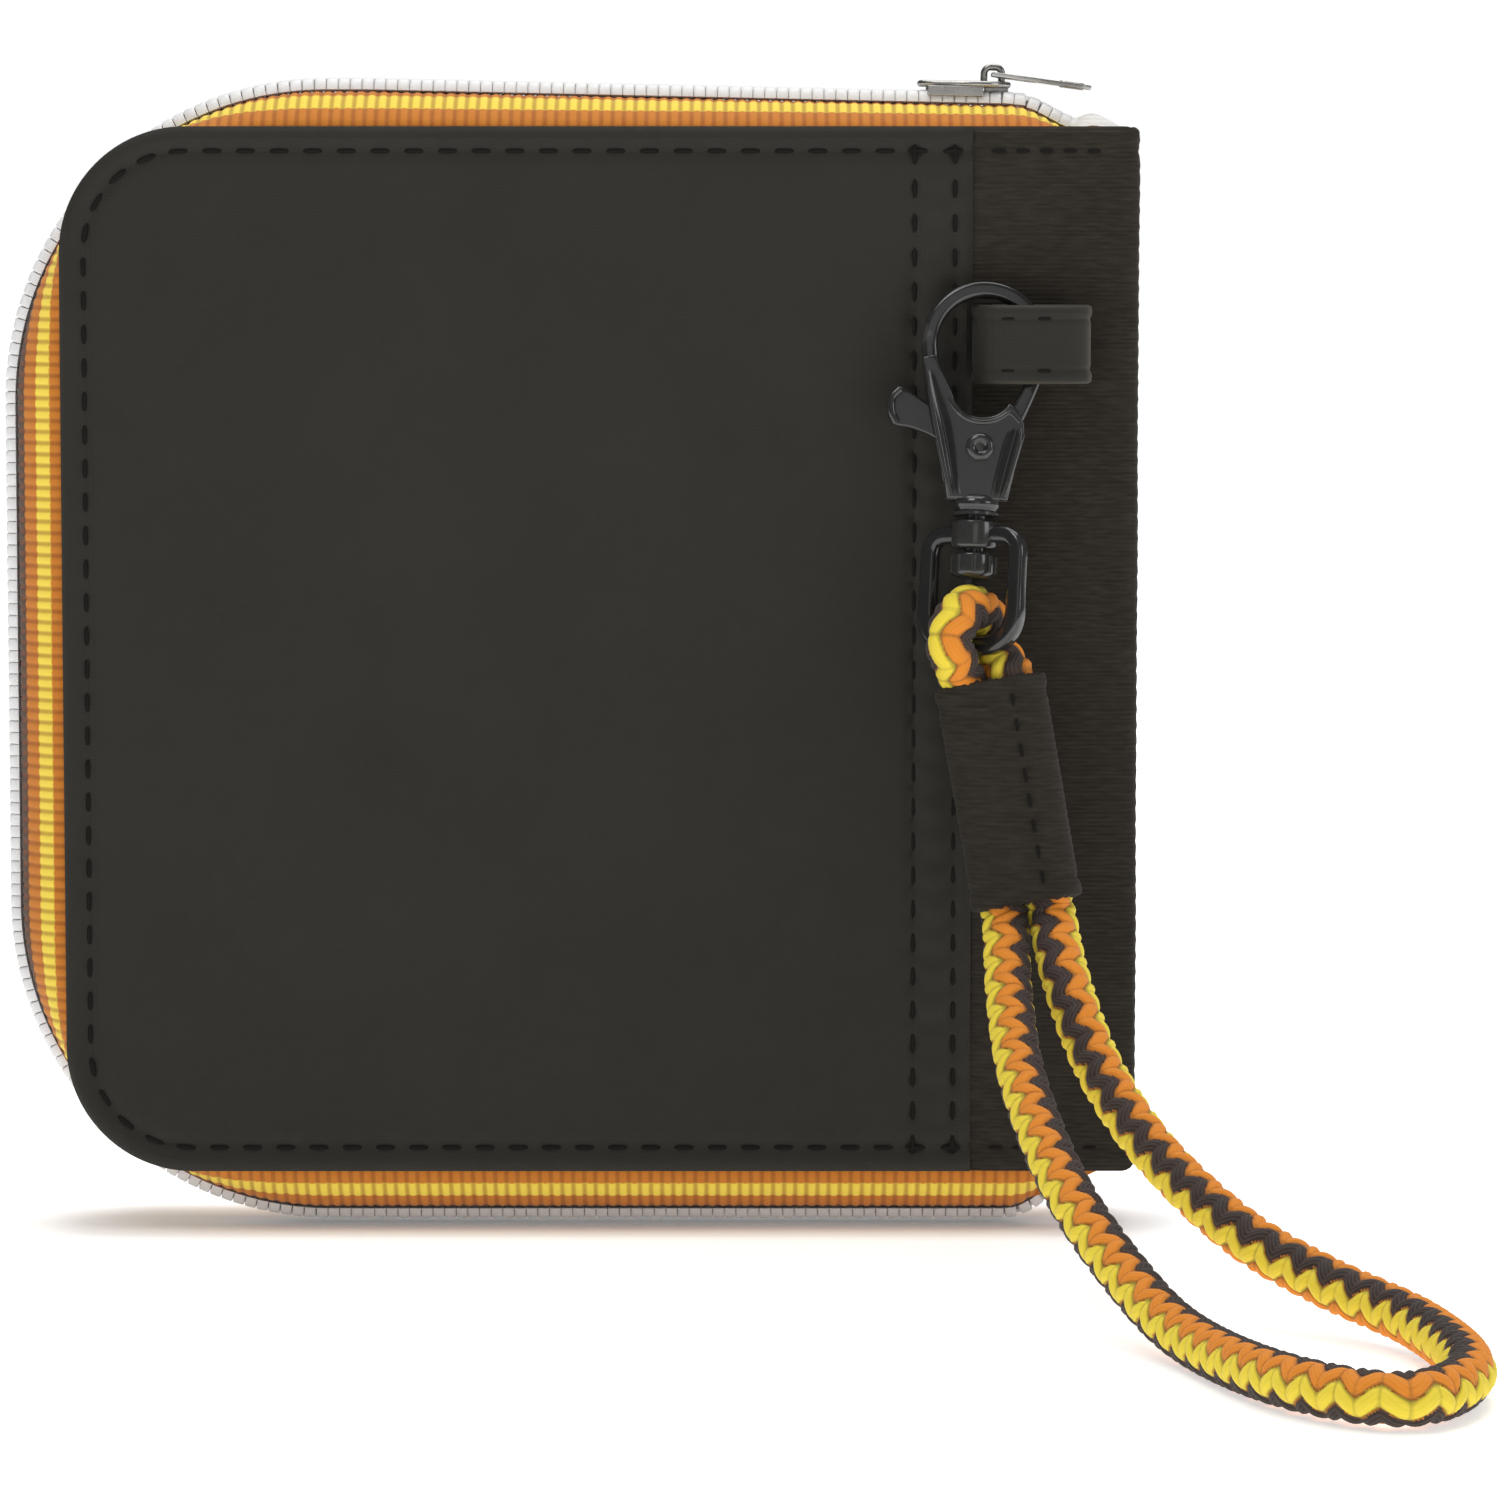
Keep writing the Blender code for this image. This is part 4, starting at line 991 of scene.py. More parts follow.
def zip_pull(node, name, body, travel, swing, size):
    """A pull: a ring round the bridge, and a tongue with a raised, rounded grip at its end."""
    level = -joint_axis(travel)
    raised = np.cross(level, Y)
    droop = math.radians(size["droop"])
    along = level * math.cos(droop) - raised * math.sin(droop)
    up = np.cross(along, Y)
    pivot = joint_point(swing)
    thick, long = size["pull_thick"], size["pull_length"]
    wide = size["bridge_half"] + 0.35 + 0.8
    inner = wide - 0.8
    hole = 0.43 * long
    outer = [(-0.5 * thick, -wide), (hole, -wide), (hole + 0.1 * long, -0.76 * wide), (0.86 * long, -0.66 * wide)]
    outer += arc((0.88 * long, 0), 0.115 * long, -60, 60, 6)
    outer += [(px, -py) for px, py in reversed(outer[:4])]
    window = [(0.5 * thick, -inner), (hole - 0.05 * long, -inner), (hole, -inner * 0.6)]
    window += [(px, -py) for px, py in reversed(window)]
    tongue = flat_shape([outer, window], 0.42 * thick, 0.2 * thick)
    parts = [placed(tongue, pivot, along, Y, up)]
    grip = flat_shape([rounded_box(0.13 * long, 0.52 * wide, 0.3 * wide)], 0.62 * thick, 0.25 * thick)
    parts.append(placed(grip, pivot + along * 0.79 * long, along, Y, up))
    metal_piece(name, parts, body, NICKEL, "slider_metal", node)


# ---------------------------------------------------------------- hook, swivel and eye

HOOK_CENTRE = joint_point("hook_swing")
HOOK_V = joint_axis("hook_swing")
HOOK_W = joint_axis("swivel_turn")
HOOK_U = np.cross(HOOK_V, HOOK_W)
EYE_U = -joint_axis("cord_swing")
EYE_V = np.cross(HOOK_W, EYE_U)
BAR_CENTRE = joint_point("cord_swing")
RIVET_DROP = -11.2


def on_hook(part, depth=0.0):
    """A flat shape drawn as seen from the front, depth millimetres towards the viewer."""
    return placed(part, HOOK_CENTRE - HOOK_V * depth, HOOK_U, HOOK_W, -HOOK_V)


def hook_path(points, depth=0.0):
    return np.array([HOOK_CENTRE + HOOK_U * u + HOOK_W * w - HOOK_V * depth for u, w in points])


def lathe(profile, origin, axis, side, steps=32):
    """A round solid from its (radius, height) profile."""
    other = np.cross(axis, side)
    rows = []
    for radius, height in profile:
        ring = circle(max(radius, 1e-3), steps)
        rows.append(origin + axis * height + ring[:, :1] * side + ring[:, 1:] * other)
    return capped_tube(rows)


def hook_body():
    """The claw, a flared two-cheek body with raised rims, and the swivel's collar."""
    crest = arc((0, 0), 5.8, 11.5, 180, 30)
    crest += smooth_curve([(-5.8, -0.5), (-5.45, -3.0), (-4.75, -6.5), (-4.1, -9.5)], 5).tolist()
    path = hook_path(crest)
    claw = sweep(path, rounded_box(0.86, 1.05, 0.5, 3), first_normal=HOOK_U)
    parts = [claw]
    throat = arc((0, -4.7), 3.3, -30, -165, 16)
    cheek = [(-6.5, -1.9), (-5.9, -5.2), (-4.9, -9.6), (-3.9, -13.4), (-3.25, -16.7)]
    cheek += [(3.15, -16.7), (3.8, -13.4), (4.65, -9.8), (4.55, -8.4), (3.75, -7.0)]
    cheek += throat + [(-4.5, -3.2), (-5.1, -1.6)]
    for depth in (1.375, -1.375):
        parts.append(on_hook(flat_shape([cheek], 0.525, 0.24), depth))
    foot = [(-3.6, -14.7), (-3.2, -16.8), (3.1, -16.8), (3.5, -14.7)]
    parts.append(on_hook(flat_shape([foot], 1.5, 0.3)))
    rims = [[(-6.0, -3.2), (-5.45, -6.0), (-4.45, -10.2), (-3.5, -14.0), (-2.9, -16.4)]]
    rims.append([(4.2, -9.0), (4.05, -10.6), (3.4, -13.6), (2.8, -16.4)])
    rims.append([(4.05, -8.4), (3.1, -7.5), *arc((0, -4.7), 3.85, -48, -160, 10)])
    for depth in (1.78, -1.78):
        for rim in rims:
            curve = smooth_curve(rim, 6)
            taper = np.sin(np.linspace(0.25, math.pi - 0.25, len(curve))) ** 0.5
            parts.append(sweep(hook_path(curve, depth), circle(0.34, 10), first_normal=HOOK_V, scale=taper))
    left_outer = [(-5.9, -3.4), (-5.4, -6.0), (-4.4, -10.2), (-3.45, -14.0), (-2.9, -16.3)]
    left_inner = [(-5.2, -3.4), (-4.3, -5.6), (-3.1, -8.4), (-2.4, -12.0), (-1.8, -16.2)]
    right_outer = [(4.25, -9.0), (4.05, -10.6), (3.4, -13.6), (2.8, -16.3)]
    right_inner = [(3.0, -9.0), (2.4, -10.6), (1.75, -13.6), (1.3, -16.2)]
    for outer, inner in ((left_outer, left_inner), (right_outer, right_inner)):
        parts += [hook_channel(outer, inner, side) for side in (1, -1)]
    parts.append(lathe(COLLAR, HOOK_CENTRE, HOOK_W, HOOK_U))
    metal_piece("hook_claw", parts, "hook", BLACK, "black_metal", "hook_body")
    rivet = [(0.0, 2.28), (0.42, 2.24), (0.62, 2.44), (0.95, 2.58), (1.3, 2.46), (1.5, 2.2), (1.5, 1.9), (0.7, 1.9)]
    rivet += [(r, -h) for r, h in reversed(rivet)]
    head = lathe(rivet, HOOK_CENTRE + HOOK_W * RIVET_DROP, -HOOK_V, HOOK_U, 28)
    metal_piece("gate_rivet_head", [head], "hook", BLACK, "black_metal", "gate_rivet")
    pin = [(1.05, -16.0), (1.05, -22.2), (2.05, -22.3), (2.3, -22.6), (2.3, -24.3), (2.05, -24.75), (1.2, -25.0)]
    pin_parts = [lathe(pin, HOOK_CENTRE, HOOK_W, HOOK_U)]
    for angle in range(0, 360, 45):
        side = HOOK_U * math.cos(math.radians(angle)) + HOOK_V * math.sin(math.radians(angle))
        ends = [HOOK_CENTRE + HOOK_W * w + side * 2.27 for w in (-22.6, -23.2, -23.9, -24.4)]
        pin_parts.append(sweep(ends, circle(0.2, 8), first_normal=side))
    metal_piece("swivel_pin_head", pin_parts, "hook", BLACK, "black_metal", "swivel_pin")


COLLAR = ((1.5, -16.2), (2.1, -16.25), (2.5, -16.6), (2.62, -17.0), (2.62, -17.5), (2.35, -17.75), (2.35, -17.85))
COLLAR += ((2.6, -18.0), (2.6, -18.3), (2.4, -18.42), (1.3, -18.42))


def hook_channel(outer, inner, side):
    """A V-shaped channel in relief along one flank of the hook's body, between two lines of (u, w)."""
    rims = [smooth_curve(line, 5) for line in (outer, inner)]
    count = min(len(rim) for rim in rims)
    rims = [rim[np.linspace(0, len(rim) - 1, count).astype(int)] for rim in rims]
    share = np.linspace(0, 1, 11)
    height = 0.26 * np.where(share < 0.4, 1 - share / 0.4, (share - 0.4) / 0.6)
    height = height - 0.24 * (bell(share, 0, 0.06) + bell(share, 1, 0.06))
    flat = rims[0][:, None] * (1 - share)[None, :, None] + rims[1][:, None] * share[None, :, None]
    fade = np.sin(np.linspace(0.12, math.pi - 0.12, count)) ** 0.4
    top = 1.91 + height[None, :] * fade[:, None]
    grids = [np.concatenate([flat, (side * level)[..., None]], -1) for level in (top, np.full_like(top, 1.6))]
    return on_hook(closed_slab(*grids))


def hook_gate():
    """The gate: an arm up the right side, a disc on the rivet and a broad thumb lever out to the left."""
    arm = [(5.62, 0.95), (5.78, -1.0), (5.45, -3.2), (4.3, -6.2), (2.9, -9.2), (1.6, -11.4)]
    arm = smooth_curve(arm, 7)
    lengthwise = np.linspace(0, 1, len(arm))
    fat = 0.86 + 0.22 * smoothstep(lengthwise, 0.25, 0.8)
    bar = sweep(hook_path(arm), rounded_box(0.86, 0.64, 0.42, 3), first_normal=HOOK_U, scale=fat)
    parts = [flatten_depth(bar, 0.65)]
    disc = [arc((0, RIVET_DROP), 2.3, 0, 345, 23), circle_loop(0, RIVET_DROP, 0.98)]
    parts.append(on_hook(flat_shape(disc, 0.62, 0.2)))
    lever = [(-1.0, -9.3), (-3.2, -8.2), (-5.6, -6.7), (-8.4, -5.1), (-9.3, -5.2), (-9.85, -6.2), (-9.8, -8.0)]
    lever += [(-9.1, -9.1), (-7.2, -9.4), (-4.6, -10.4), (-2.0, -12.4), (-0.5, -12.9), (0.4, -9.4)]
    parts.append(on_hook(flat_shape([smooth_loop(lever)], 0.62, 0.26)))
    pad = smooth_curve([(-8.7, -5.35), (-9.5, -6.3), (-9.45, -7.8), (-8.9, -8.9)], 6)
    parts.append(sweep(hook_path(pad), rounded_box(0.45, 1.15, 0.4, 3), first_normal=HOOK_U))
    metal_piece("gate_lever", parts, "gate", BLACK, "black_metal", "hook_gate")


def flatten_depth(part, half_depth):
    """Holds a hook part within half_depth of its middle plane."""
    points, faces = part
    depth = (points - HOOK_CENTRE) @ HOOK_V
    return points - np.outer(depth - np.clip(depth, -half_depth, half_depth), HOOK_V), faces


def circle_loop(u, w, radius, steps=20):
    return [(u + px, w + py) for px, py in circle(radius, steps)]


def smooth_loop(points, count=4):
    points = np.array(points)
    padded = np.concatenate([points[-1:], points, points[:2]])
    return smooth_curve(padded, count)[count : -count - 1].tolist()


def swivel_eye():
    """A squared bow of wire on a round boss that turns on the swivel's pin."""
    boss = [(1.4, -18.85), (2.2, -18.85), (2.5, -19.15), (2.5, -21.5), (2.2, -21.85), (1.4, -21.85)]
    boss_part = lathe(boss, HOOK_CENTRE, HOOK_W, EYE_U)
    half, low, high, drop = 5.5, -32.0, -20.3, 3.4
    bow = [(-1.2, high + 0.05)] + arc((-half + 1.9, high - 1.9), 1.9, 90, 180, 8)
    bow += arc((-half + drop, low + drop), drop, 180, 270, 12)
    bow += arc((half - drop, low + drop), drop, 270, 360, 12)
    bow += arc((half - 1.9, high - 1.9), 1.9, 0, 90, 8) + [(1.2, high + 0.05)]
    path = resample([HOOK_CENTRE + EYE_U * u + HOOK_W * w for u, w in bow], 0.5)
    fat = 1.0 + 0.16 * smoothstep(np.abs(np.linspace(-1, 1, len(path))), 0.55, 0.2)
    section = rounded_box(0.92, 0.98, 0.62, 3)
    wire = sweep(path, section, first_normal=EYE_V, scale=fat * 0.95)
    metal_piece("swivel_bow", [boss_part, wire], "eye", BLACK, "black_metal", "swivel_eye")


def gate_spring():
    """A short coil of wire inside the hook's body."""
    turns, per_turn = 4, 14
    points = []
    for i in range(turns * per_turn + 1):
        angle = 2 * math.pi * i / per_turn
        height = -14.3 + 1.8 * i / (turns * per_turn)
        place = HOOK_CENTRE + HOOK_U * (-3.1 + 0.45 * math.cos(angle)) + HOOK_V * 0.45 * math.sin(angle)
        points.append(place + HOOK_W * height)
    wire = sweep(points, circle(0.14, 8), first_normal=HOOK_W)
    piece("gate_spring_wire", wire, STEEL, "hook", "spring_steel", "gate_spring")


def tab_loop():
    """The folded tab, its free edges turned in and stitched, with its fold at the right end and its edges painted
    paler as a highlight.
    """
    low, high = node_box("tab_loop")
    section = [(39.95, 0.85), (40.05, 2.2), (40.3, 3.7), (41.1, 5.35), (42.8, 6.2), (45.2, 6.42), (48.6, 6.4)]
    section += arc((48.95, 3.55), 2.8, 82, -82, 10)
    section += [(46.5, 0.62), (43.5, 0.62), (41.75, 0.66)]
    face = STRIP_LOW[1]
    line = resample(smooth_curve(section, 4), 0.32)
    half = (high[2] - low[2]) / 2
    centre = (high[2] + low[2]) / 2
    levels = joined_steps((-half, -half + 0.5, 4), (-half + 0.5, half - 0.5, 39), (half - 0.5, half, 4))
    tangent = normalise(np.gradient(line, axis=0))
    normal = np.stack([tangent[:, 1], -tangent[:, 0]], 1)
    if normal[len(line) // 4, 1] < 0:
        normal = -normal
    run = np.linspace(0, 1, len(line))[:, None]
    from_edge = half - np.abs(levels)[None, :]
    hem = 0.10 * bell(from_edge, 0.75, 0.55) - 0.12 * bell(from_edge, 1.5, 0.28)
    middle = 1 - (levels[None, :] / half) ** 2
    sag = 0.16 * np.sin(3 * math.pi * run + 0.3) * middle * smoothstep(run, 0.03, 0.2)
    thick = 0.33 * np.sqrt(np.clip(1 - (1 - np.clip(from_edge / 0.33, 0, 1)) ** 2, 0.0, 1)) + 0.02
    grids = []
    for side in (1, -1):
        amount = side * thick + hem * (side > 0) + sag * 0.6
        px = line[:, :1] + normal[:, :1] * amount
        depth = line[:, 1:] + normal[:, 1:] * amount
        z = centre + levels[None, :] * (1 - 0.012 * np.sin(math.pi * run))
        grids.append(np.stack([px, face - depth, np.broadcast_to(z, px.shape)], -1))
    # Painted highlight: a pale line along the fold and along both edges
    fold = bell(line[:, :1], line[:, 0].max(), 0.35)
    rim_highlight = np.maximum(fold, 0.6 * bell(from_edge, 0.12, 0.22) * smoothstep(run, 0.14, 0.24))
    edge_highlight = {"edge_highlight": np.tile(rim_highlight.ravel(), 2)}
    piece("tab_cloth", closed_slab(*grids), COATED, "front", "coated_fabric", "tab_loop", attributes=edge_highlight)
    row = line[(run[:, 0] > 0.17) & (run[:, 0] < 0.45)]
    parts = []
    for level in (half - 1.45, -half + 1.45):
        flat = [(px, face - depth - 0.30, centre + level) for px, depth in row]
        parts.append(stitches(flat, 2.6, -Y, 1.8, 0.32, 0.26))
    piece("tab_stitches", joined(parts), THREAD, "front", "coated_fabric")


# ---------------------------------------------------------------- wrist cord

SLEEVE_TOP = np.array([41.3, -31.05, -3.3])
SLEEVE_BOTTOM = np.array([45.2, -34.4, -26.6])
CORD_RADIUS = 2.3
CROWN_RADIUS = 3.9
STRAND_OFFSET = 2.5
STRAIGHT_PAST_SLEEVE = 0.8
SLEEVE_RISE = 1.0
FREE_LOOP = (
    (43.0, -43.0, -35.0),
    (44.0, -55.0, -42.0),
    (47.5, -70.0, -50.0),
    (52.7, -83.0, -56.5),
    (57.9, -96.0, -60.2),
    (65.4, -117.2, -60.2),
    (75.5, -125.7, -60.2),
    (82.6, -113.1, -60.2),
    (80.6, -91.9, -59.8),
    (72.3, -79.4, -57.6),
    (64.5, -71.0, -54.0),
    (57.0, -58.5, -48.0),
    (52.0, -48.5, -41.0),
    (49.0, -41.0, -33.0),
)
BRAID_PERIOD = 3.7
BRAID_SWING = 21.0
RISING_TURN = -55.0
CORD_SIDES = 72


def sleeve_axes():
    along = SLEEVE_BOTTOM - SLEEVE_TOP
    length = np.linalg.norm(along)
    along = along / length
    across = X - along * along[0]
    across = across / np.linalg.norm(across)
    return along, across, np.cross(along, across), length


def cord_centreline():
    """The CAD cord's closed centreline: over the eye's bar, down the sleeve and round the free loop."""
    away = EYE_V.copy()
    away[2] = 0.0
    away = away / np.linalg.norm(away)
    crown = []
    for degrees in range(0, 181, 15):
        angle = math.radians(degrees)
        crown.append(BAR_CENTRE + away * CROWN_RADIUS * math.cos(angle) + Z * CROWN_RADIUS * math.sin(angle))
    along, across = sleeve_axes()[:2]
    start, end = SLEEVE_TOP - along * STRAIGHT_PAST_SLEEVE, SLEEVE_BOTTOM + along * STRAIGHT_PAST_SLEEVE
    straight = [start, start + along * 2, end - along * 4, end]
    offset = across * STRAND_OFFSET
    controls = [crown[-2], crown[-1]] + [p - offset for p in straight] + [np.array(p) for p in FREE_LOOP]
    controls += [p + offset for p in reversed(straight)] + [crown[0], crown[1]]
    return np.concatenate([np.array(crown[:-1])] + catmull_rom(np.array(controls), 10))


def cord_marks():
    """Where the rising strand starts, where it enters the sleeve and where it leaves it."""
    along, across = sleeve_axes()[:2]
    offset = across * STRAND_OFFSET
    return np.array(FREE_LOOP[7]), SLEEVE_BOTTOM + along * STRAIGHT_PAST_SLEEVE + offset, SLEEVE_TOP + offset


def wrist_cord():
    """The braid: six bundles round the cord, each a chain of slanted pods, in three stripes two bundles wide."""
    loop = cord_centreline()
    closed = np.concatenate([loop, loop[:1]])
    line = resample(closed, 0.25)[:-1]
    for _ in range(6):
        line = (np.roll(line, 1, 0) + 2 * line + np.roll(line, -1, 0)) / 4
    steps = np.linalg.norm(np.roll(line, -1, 0) - line, axis=1)
    length = steps.sum()
    s = np.concatenate([[0], np.cumsum(steps)[:-1]])
    tangents, normals, _ = path_frames(line, True, (0, -1, 0))
    # Spread the twist that carrying the frame round the loop leaves over
    last = normals[-1] - tangents[0] * np.dot(normals[-1], tangents[0])
    over = math.atan2(np.dot(np.cross(last, normals[0]), tangents[0]), np.dot(last, normals[0]))
    theta = np.linspace(0, 2 * math.pi, CORD_SIDES, endpoint=False)
    periods = round(length / BRAID_PERIOD)
    phase = s / length * periods
    zig = 2 * np.abs(2 * (phase - np.floor(phase)) - 1) - 1
    zig = np.sin(zig * math.pi / 2) * 0.35 + zig * 0.65
    first, last, sleeve = (s[np.linalg.norm(line - p, axis=1).argmin()] for p in cord_marks())
    turn = RISING_TURN * (smoothstep(s, first, last) - smoothstep(s, last, sleeve))
    twist = over * s / length + np.radians(turn)
    angle = theta[None, :] - twist[:, None]
    lane = np.degrees(angle) - BRAID_SWING * zig[:, None]
    wale = (lane / 60) % 1.0
    pod = (2 * phase) % 1.0
    across = np.sin(math.pi * wale)
    lengthwise = np.sin(math.pi * pod)[:, None]
    relief = 0.22 * across**0.6 + 0.34 * lengthwise**0.6 * across**0.5
    fine = 0.018 * np.sin(2 * math.pi * (4.0 * wale))
    radius = CORD_RADIUS - 0.26 + relief + fine
    binormals = np.cross(tangents, normals)
    ring = normals[:, None] * np.cos(theta)[None, :, None] + binormals[:, None] * np.sin(theta)[None, :, None]
    grid = line[:, None] + ring * radius[..., None]
    stripe = np.floor((lane / 60) % 3)
    groove = np.minimum(across * 1.5, 1.0) * np.minimum(0.25 + lengthwise * 1.3, 1.0)
    marks = {"bundle": stripe.ravel(), "strand": (wale * 5).ravel(), "groove": groove.ravel()}
    part = grid.reshape(-1, 3), grid_faces(len(line), CORD_SIDES, wrap_rows=True, wrap_across=True)
    piece("cord_braid", part, CORD, "lanyard", "braided_cord", "wrist_cord", attributes=marks)


def cord_sleeve():
    """The stitched wrap round both strands: a flat tube with turned ends and a lapped seam."""
    along, across, normal, length = sleeve_axes()
    if normal[1] > 0:
        normal = -normal
    half_a, half_b = STRAND_OFFSET + CORD_RADIUS + 0.30, CORD_RADIUS + 0.30
    ring = loop_points(half_a, half_b)
    outline = resample(np.concatenate([ring, ring[:1]]), 0.34)[:-1]
    sides = len(outline)
    centre_out = normalise(np.stack([np.gradient(outline[:, 1]), -np.gradient(outline[:, 0])], 1))
    flip = np.sum(centre_out * outline, axis=1) < 0
    centre_out[flip] *= -1
    rows = 110
    t = np.linspace(0, 1, rows)
    from_end = np.minimum(t, 1 - t) * length
    seam = smoothstep(outline[:, 0], 2.35, 2.75) * (outline[:, 1] > 0.5)
    hem = 0.16 * bell(from_end, 0.9, 0.7) - 0.13 * bell(from_end, 2.1, 0.35)
    waist = -0.10 * np.sin(math.pi * t)
    ribs = 0.035 * np.sin(2 * math.pi * t * length / FABRIC_RIB)
    slack = 0.10 * np.sin(outline[:, 0][None, :] * 1.1 + 5 * t[:, None]) * np.sin(math.pi * t)[:, None]
    thick = 0.55 + hem[:, None] + waist[:, None] + ribs[:, None] + slack * 0.6 + 0.26 * seam[None, :]
    end = np.sqrt(np.clip(1 - (1 - np.clip(from_end / 0.3, 0, 1)) ** 2, 0.02, 1))[:, None]
    fray = 0.12 * np.sin(9.7 * outline[:, 0] + 3 * outline[:, 1]) + 0.10 * np.sin(4.1 * outline[:, 0] + 1.0)
    grids = []
    start = SLEEVE_TOP - along * SLEEVE_RISE
    for amount in (thick * end + 0.1, np.full_like(thick, -0.05)):
        a = outline[:, 0][None, :] + centre_out[:, 0][None, :] * amount
        b = outline[:, 1][None, :] + centre_out[:, 1][None, :] * amount
        edge = np.where(t[:, None] < 0.5, -1, 1) * fray[None, :] * (np.abs(t - 0.5)[:, None] * 2) ** 8
        place = t[:, None] * length + edge
        grids.append(start + across * a[..., None] + normal * b[..., None] + along * place[..., None])
    outer, inner = grids
    count = rows * sides
    faces = grid_faces(rows, sides, wrap_across=True)
    faces += [tuple(reversed(f)) for f in grid_faces(rows, sides, wrap_across=True, start=count)]
    for c in range(sides):
        d = (c + 1) % sides
        faces.append((c, d, d + count, c + count))
        base = (rows - 1) * sides
        faces.append((base + d, base + c, base + c + count, base + d + count))
    points = np.concatenate([outer.reshape(-1, 3), inner.reshape(-1, 3)])
    piece("sleeve_cloth", (points, faces), RIBBED, "lanyard", "ribbed_fabric", "cord_sleeve")
    top = start + across * 2.0 + normal * (half_b + 0.72)
    bottom = SLEEVE_BOTTOM - along * SLEEVE_RISE + across * 2.0 + normal * (half_b + 0.72)
    thread_line = stitches([top, bottom], 2.4, normal, 1.6, 0.34, 0.28, start=1.2)
    piece("sleeve_stitches", thread_line, THREAD, "lanyard", "ribbed_fabric")


def loop_points(half_a, half_b, steps=18):
    inset = half_a - half_b
    return np.array(arc((inset, 0), half_b, -90, 90, steps) + arc((-inset, 0), half_b, 90, 270, steps))


# ---------------------------------------------------------------- inside


def lining(half):
    """A lining that dips at its edge to meet the zip tape's seam, with a line of stitches."""
    inward = 1 if half == "front" else -1
    low, high = node_box(half + "_lining")
    face = FRONT_FACE if half == "front" else BACK_FACE
    surface = high[1] if half == "front" else low[1]
    left, right, bottom, top = LEFT + 1.0, high[0], BOTTOM + 1.0, TOP - 1.0
    x, z = corner_grid(left, right, bottom, top, CORNER - 1.0, 1.3)
    side = inset_of(x, z, left, right, bottom, top, CORNER - 1.0, open_right=True)
    depth = abs(surface - face)
    rise = 1.75 + (depth - 1.75) * smoothstep(side, 0.2, 3.2)
    rise = rise + 0.10 * ripple(x, z, 5.0) * smoothstep(side, 3, 9)
    rise = rise - 0.22 * bell(side, 3.2, 0.5)
    outer = np.stack([x, face + inward * rise, z], -1)
    inner = np.stack([x, face + inward * (rise - 0.32), z], -1)
    piece(half + "_lining_cloth", closed_slab(outer, inner), LINING, half, "lining", half + "_lining")
    radius = CORNER - 4.2
    path = [(right - 1, top - 3.2)]
    path += arc((left + CORNER - 1, top - CORNER + 1), radius, 90, 180, 8)
    path += arc((left + CORNER - 1, bottom + CORNER - 1), radius, 180, 270, 8) + [(right - 1, bottom + 3.2)]
    row = stitches(at_depth(path, face + inward * (depth - 0.1)), STITCH_PITCH, inward * Y)
    piece(half + "_lining_stitches", row, THREAD, half, "lining")


POCKET_STITCH = 3.4


def pocket(node, half):
    """A flat pocket: thin cloth with a slightly slack bound mouth and stitched sides."""
    low, high = node_box(node)
    inward = 1 if half == "front" else -1
    outer_y = high[1] if half == "front" else low[1]
    inner_y = low[1] if half == "front" else high[1]
    xs = np.linspace(low[0], high[0], 60)
    share = np.linspace(0, 1, 36) ** 0.8
    x = np.repeat(xs[:, None], len(share), 1)
    middle = 1 - ((x - (low[0] + high[0]) / 2) / ((high[0] - low[0]) / 2)) ** 2
    dip = 0.9 * middle * share[None, :] ** 3
    z = low[2] + (high[2] - low[2]) * share[None, :] - dip
    slack = 0.12 * ripple(x, z, low[2] + high[2]) + 0.16 * middle * share[None, :] ** 4
    side = np.minimum(x - low[0], high[0] - x)
    stitched = bell(side, 1.6, 0.45) + bell(z - low[2], 1.6, 0.45)
    edge = np.minimum(side, z - low[2])
    roll = 0.25 * (1 - smoothstep(edge, 0, 0.5))
    offset = slack * smoothstep(side, 1.5, 6) - 0.14 * stitched - roll
    outer = np.stack([x, outer_y + inward * (offset - 0.05), z], -1)
    inner = np.stack([x, np.full_like(x, inner_y + inward * 0.05), z], -1)
    piece(node + "_cloth", closed_slab(outer, inner), LINING, half, "lining", node)
    mouth = resample(np.stack([xs, (outer[:, -1, 1] + inner[:, -1, 1]) / 2, z[:, -1] - 0.55], -1), 1.2)
    binding = sweep(mouth, rounded_box(0.36, 0.95, 0.3, 3), first_normal=Y)
    piece(node + "_binding", binding, BINDING, half, "lining")
    left, right, bottom, top = low[0] + 1.6, high[0] - 1.6, low[2] + 1.6, high[2] - 2.5
    path = at_depth([(left, top), (left, bottom), (right, bottom), (right, top)], outer_y - inward * 0.12)
    row = stitches(path, POCKET_STITCH, inward * Y, 2.2, 0.34, 0.26)
    piece(node + "_stitches", row, THREAD, half, "lining")


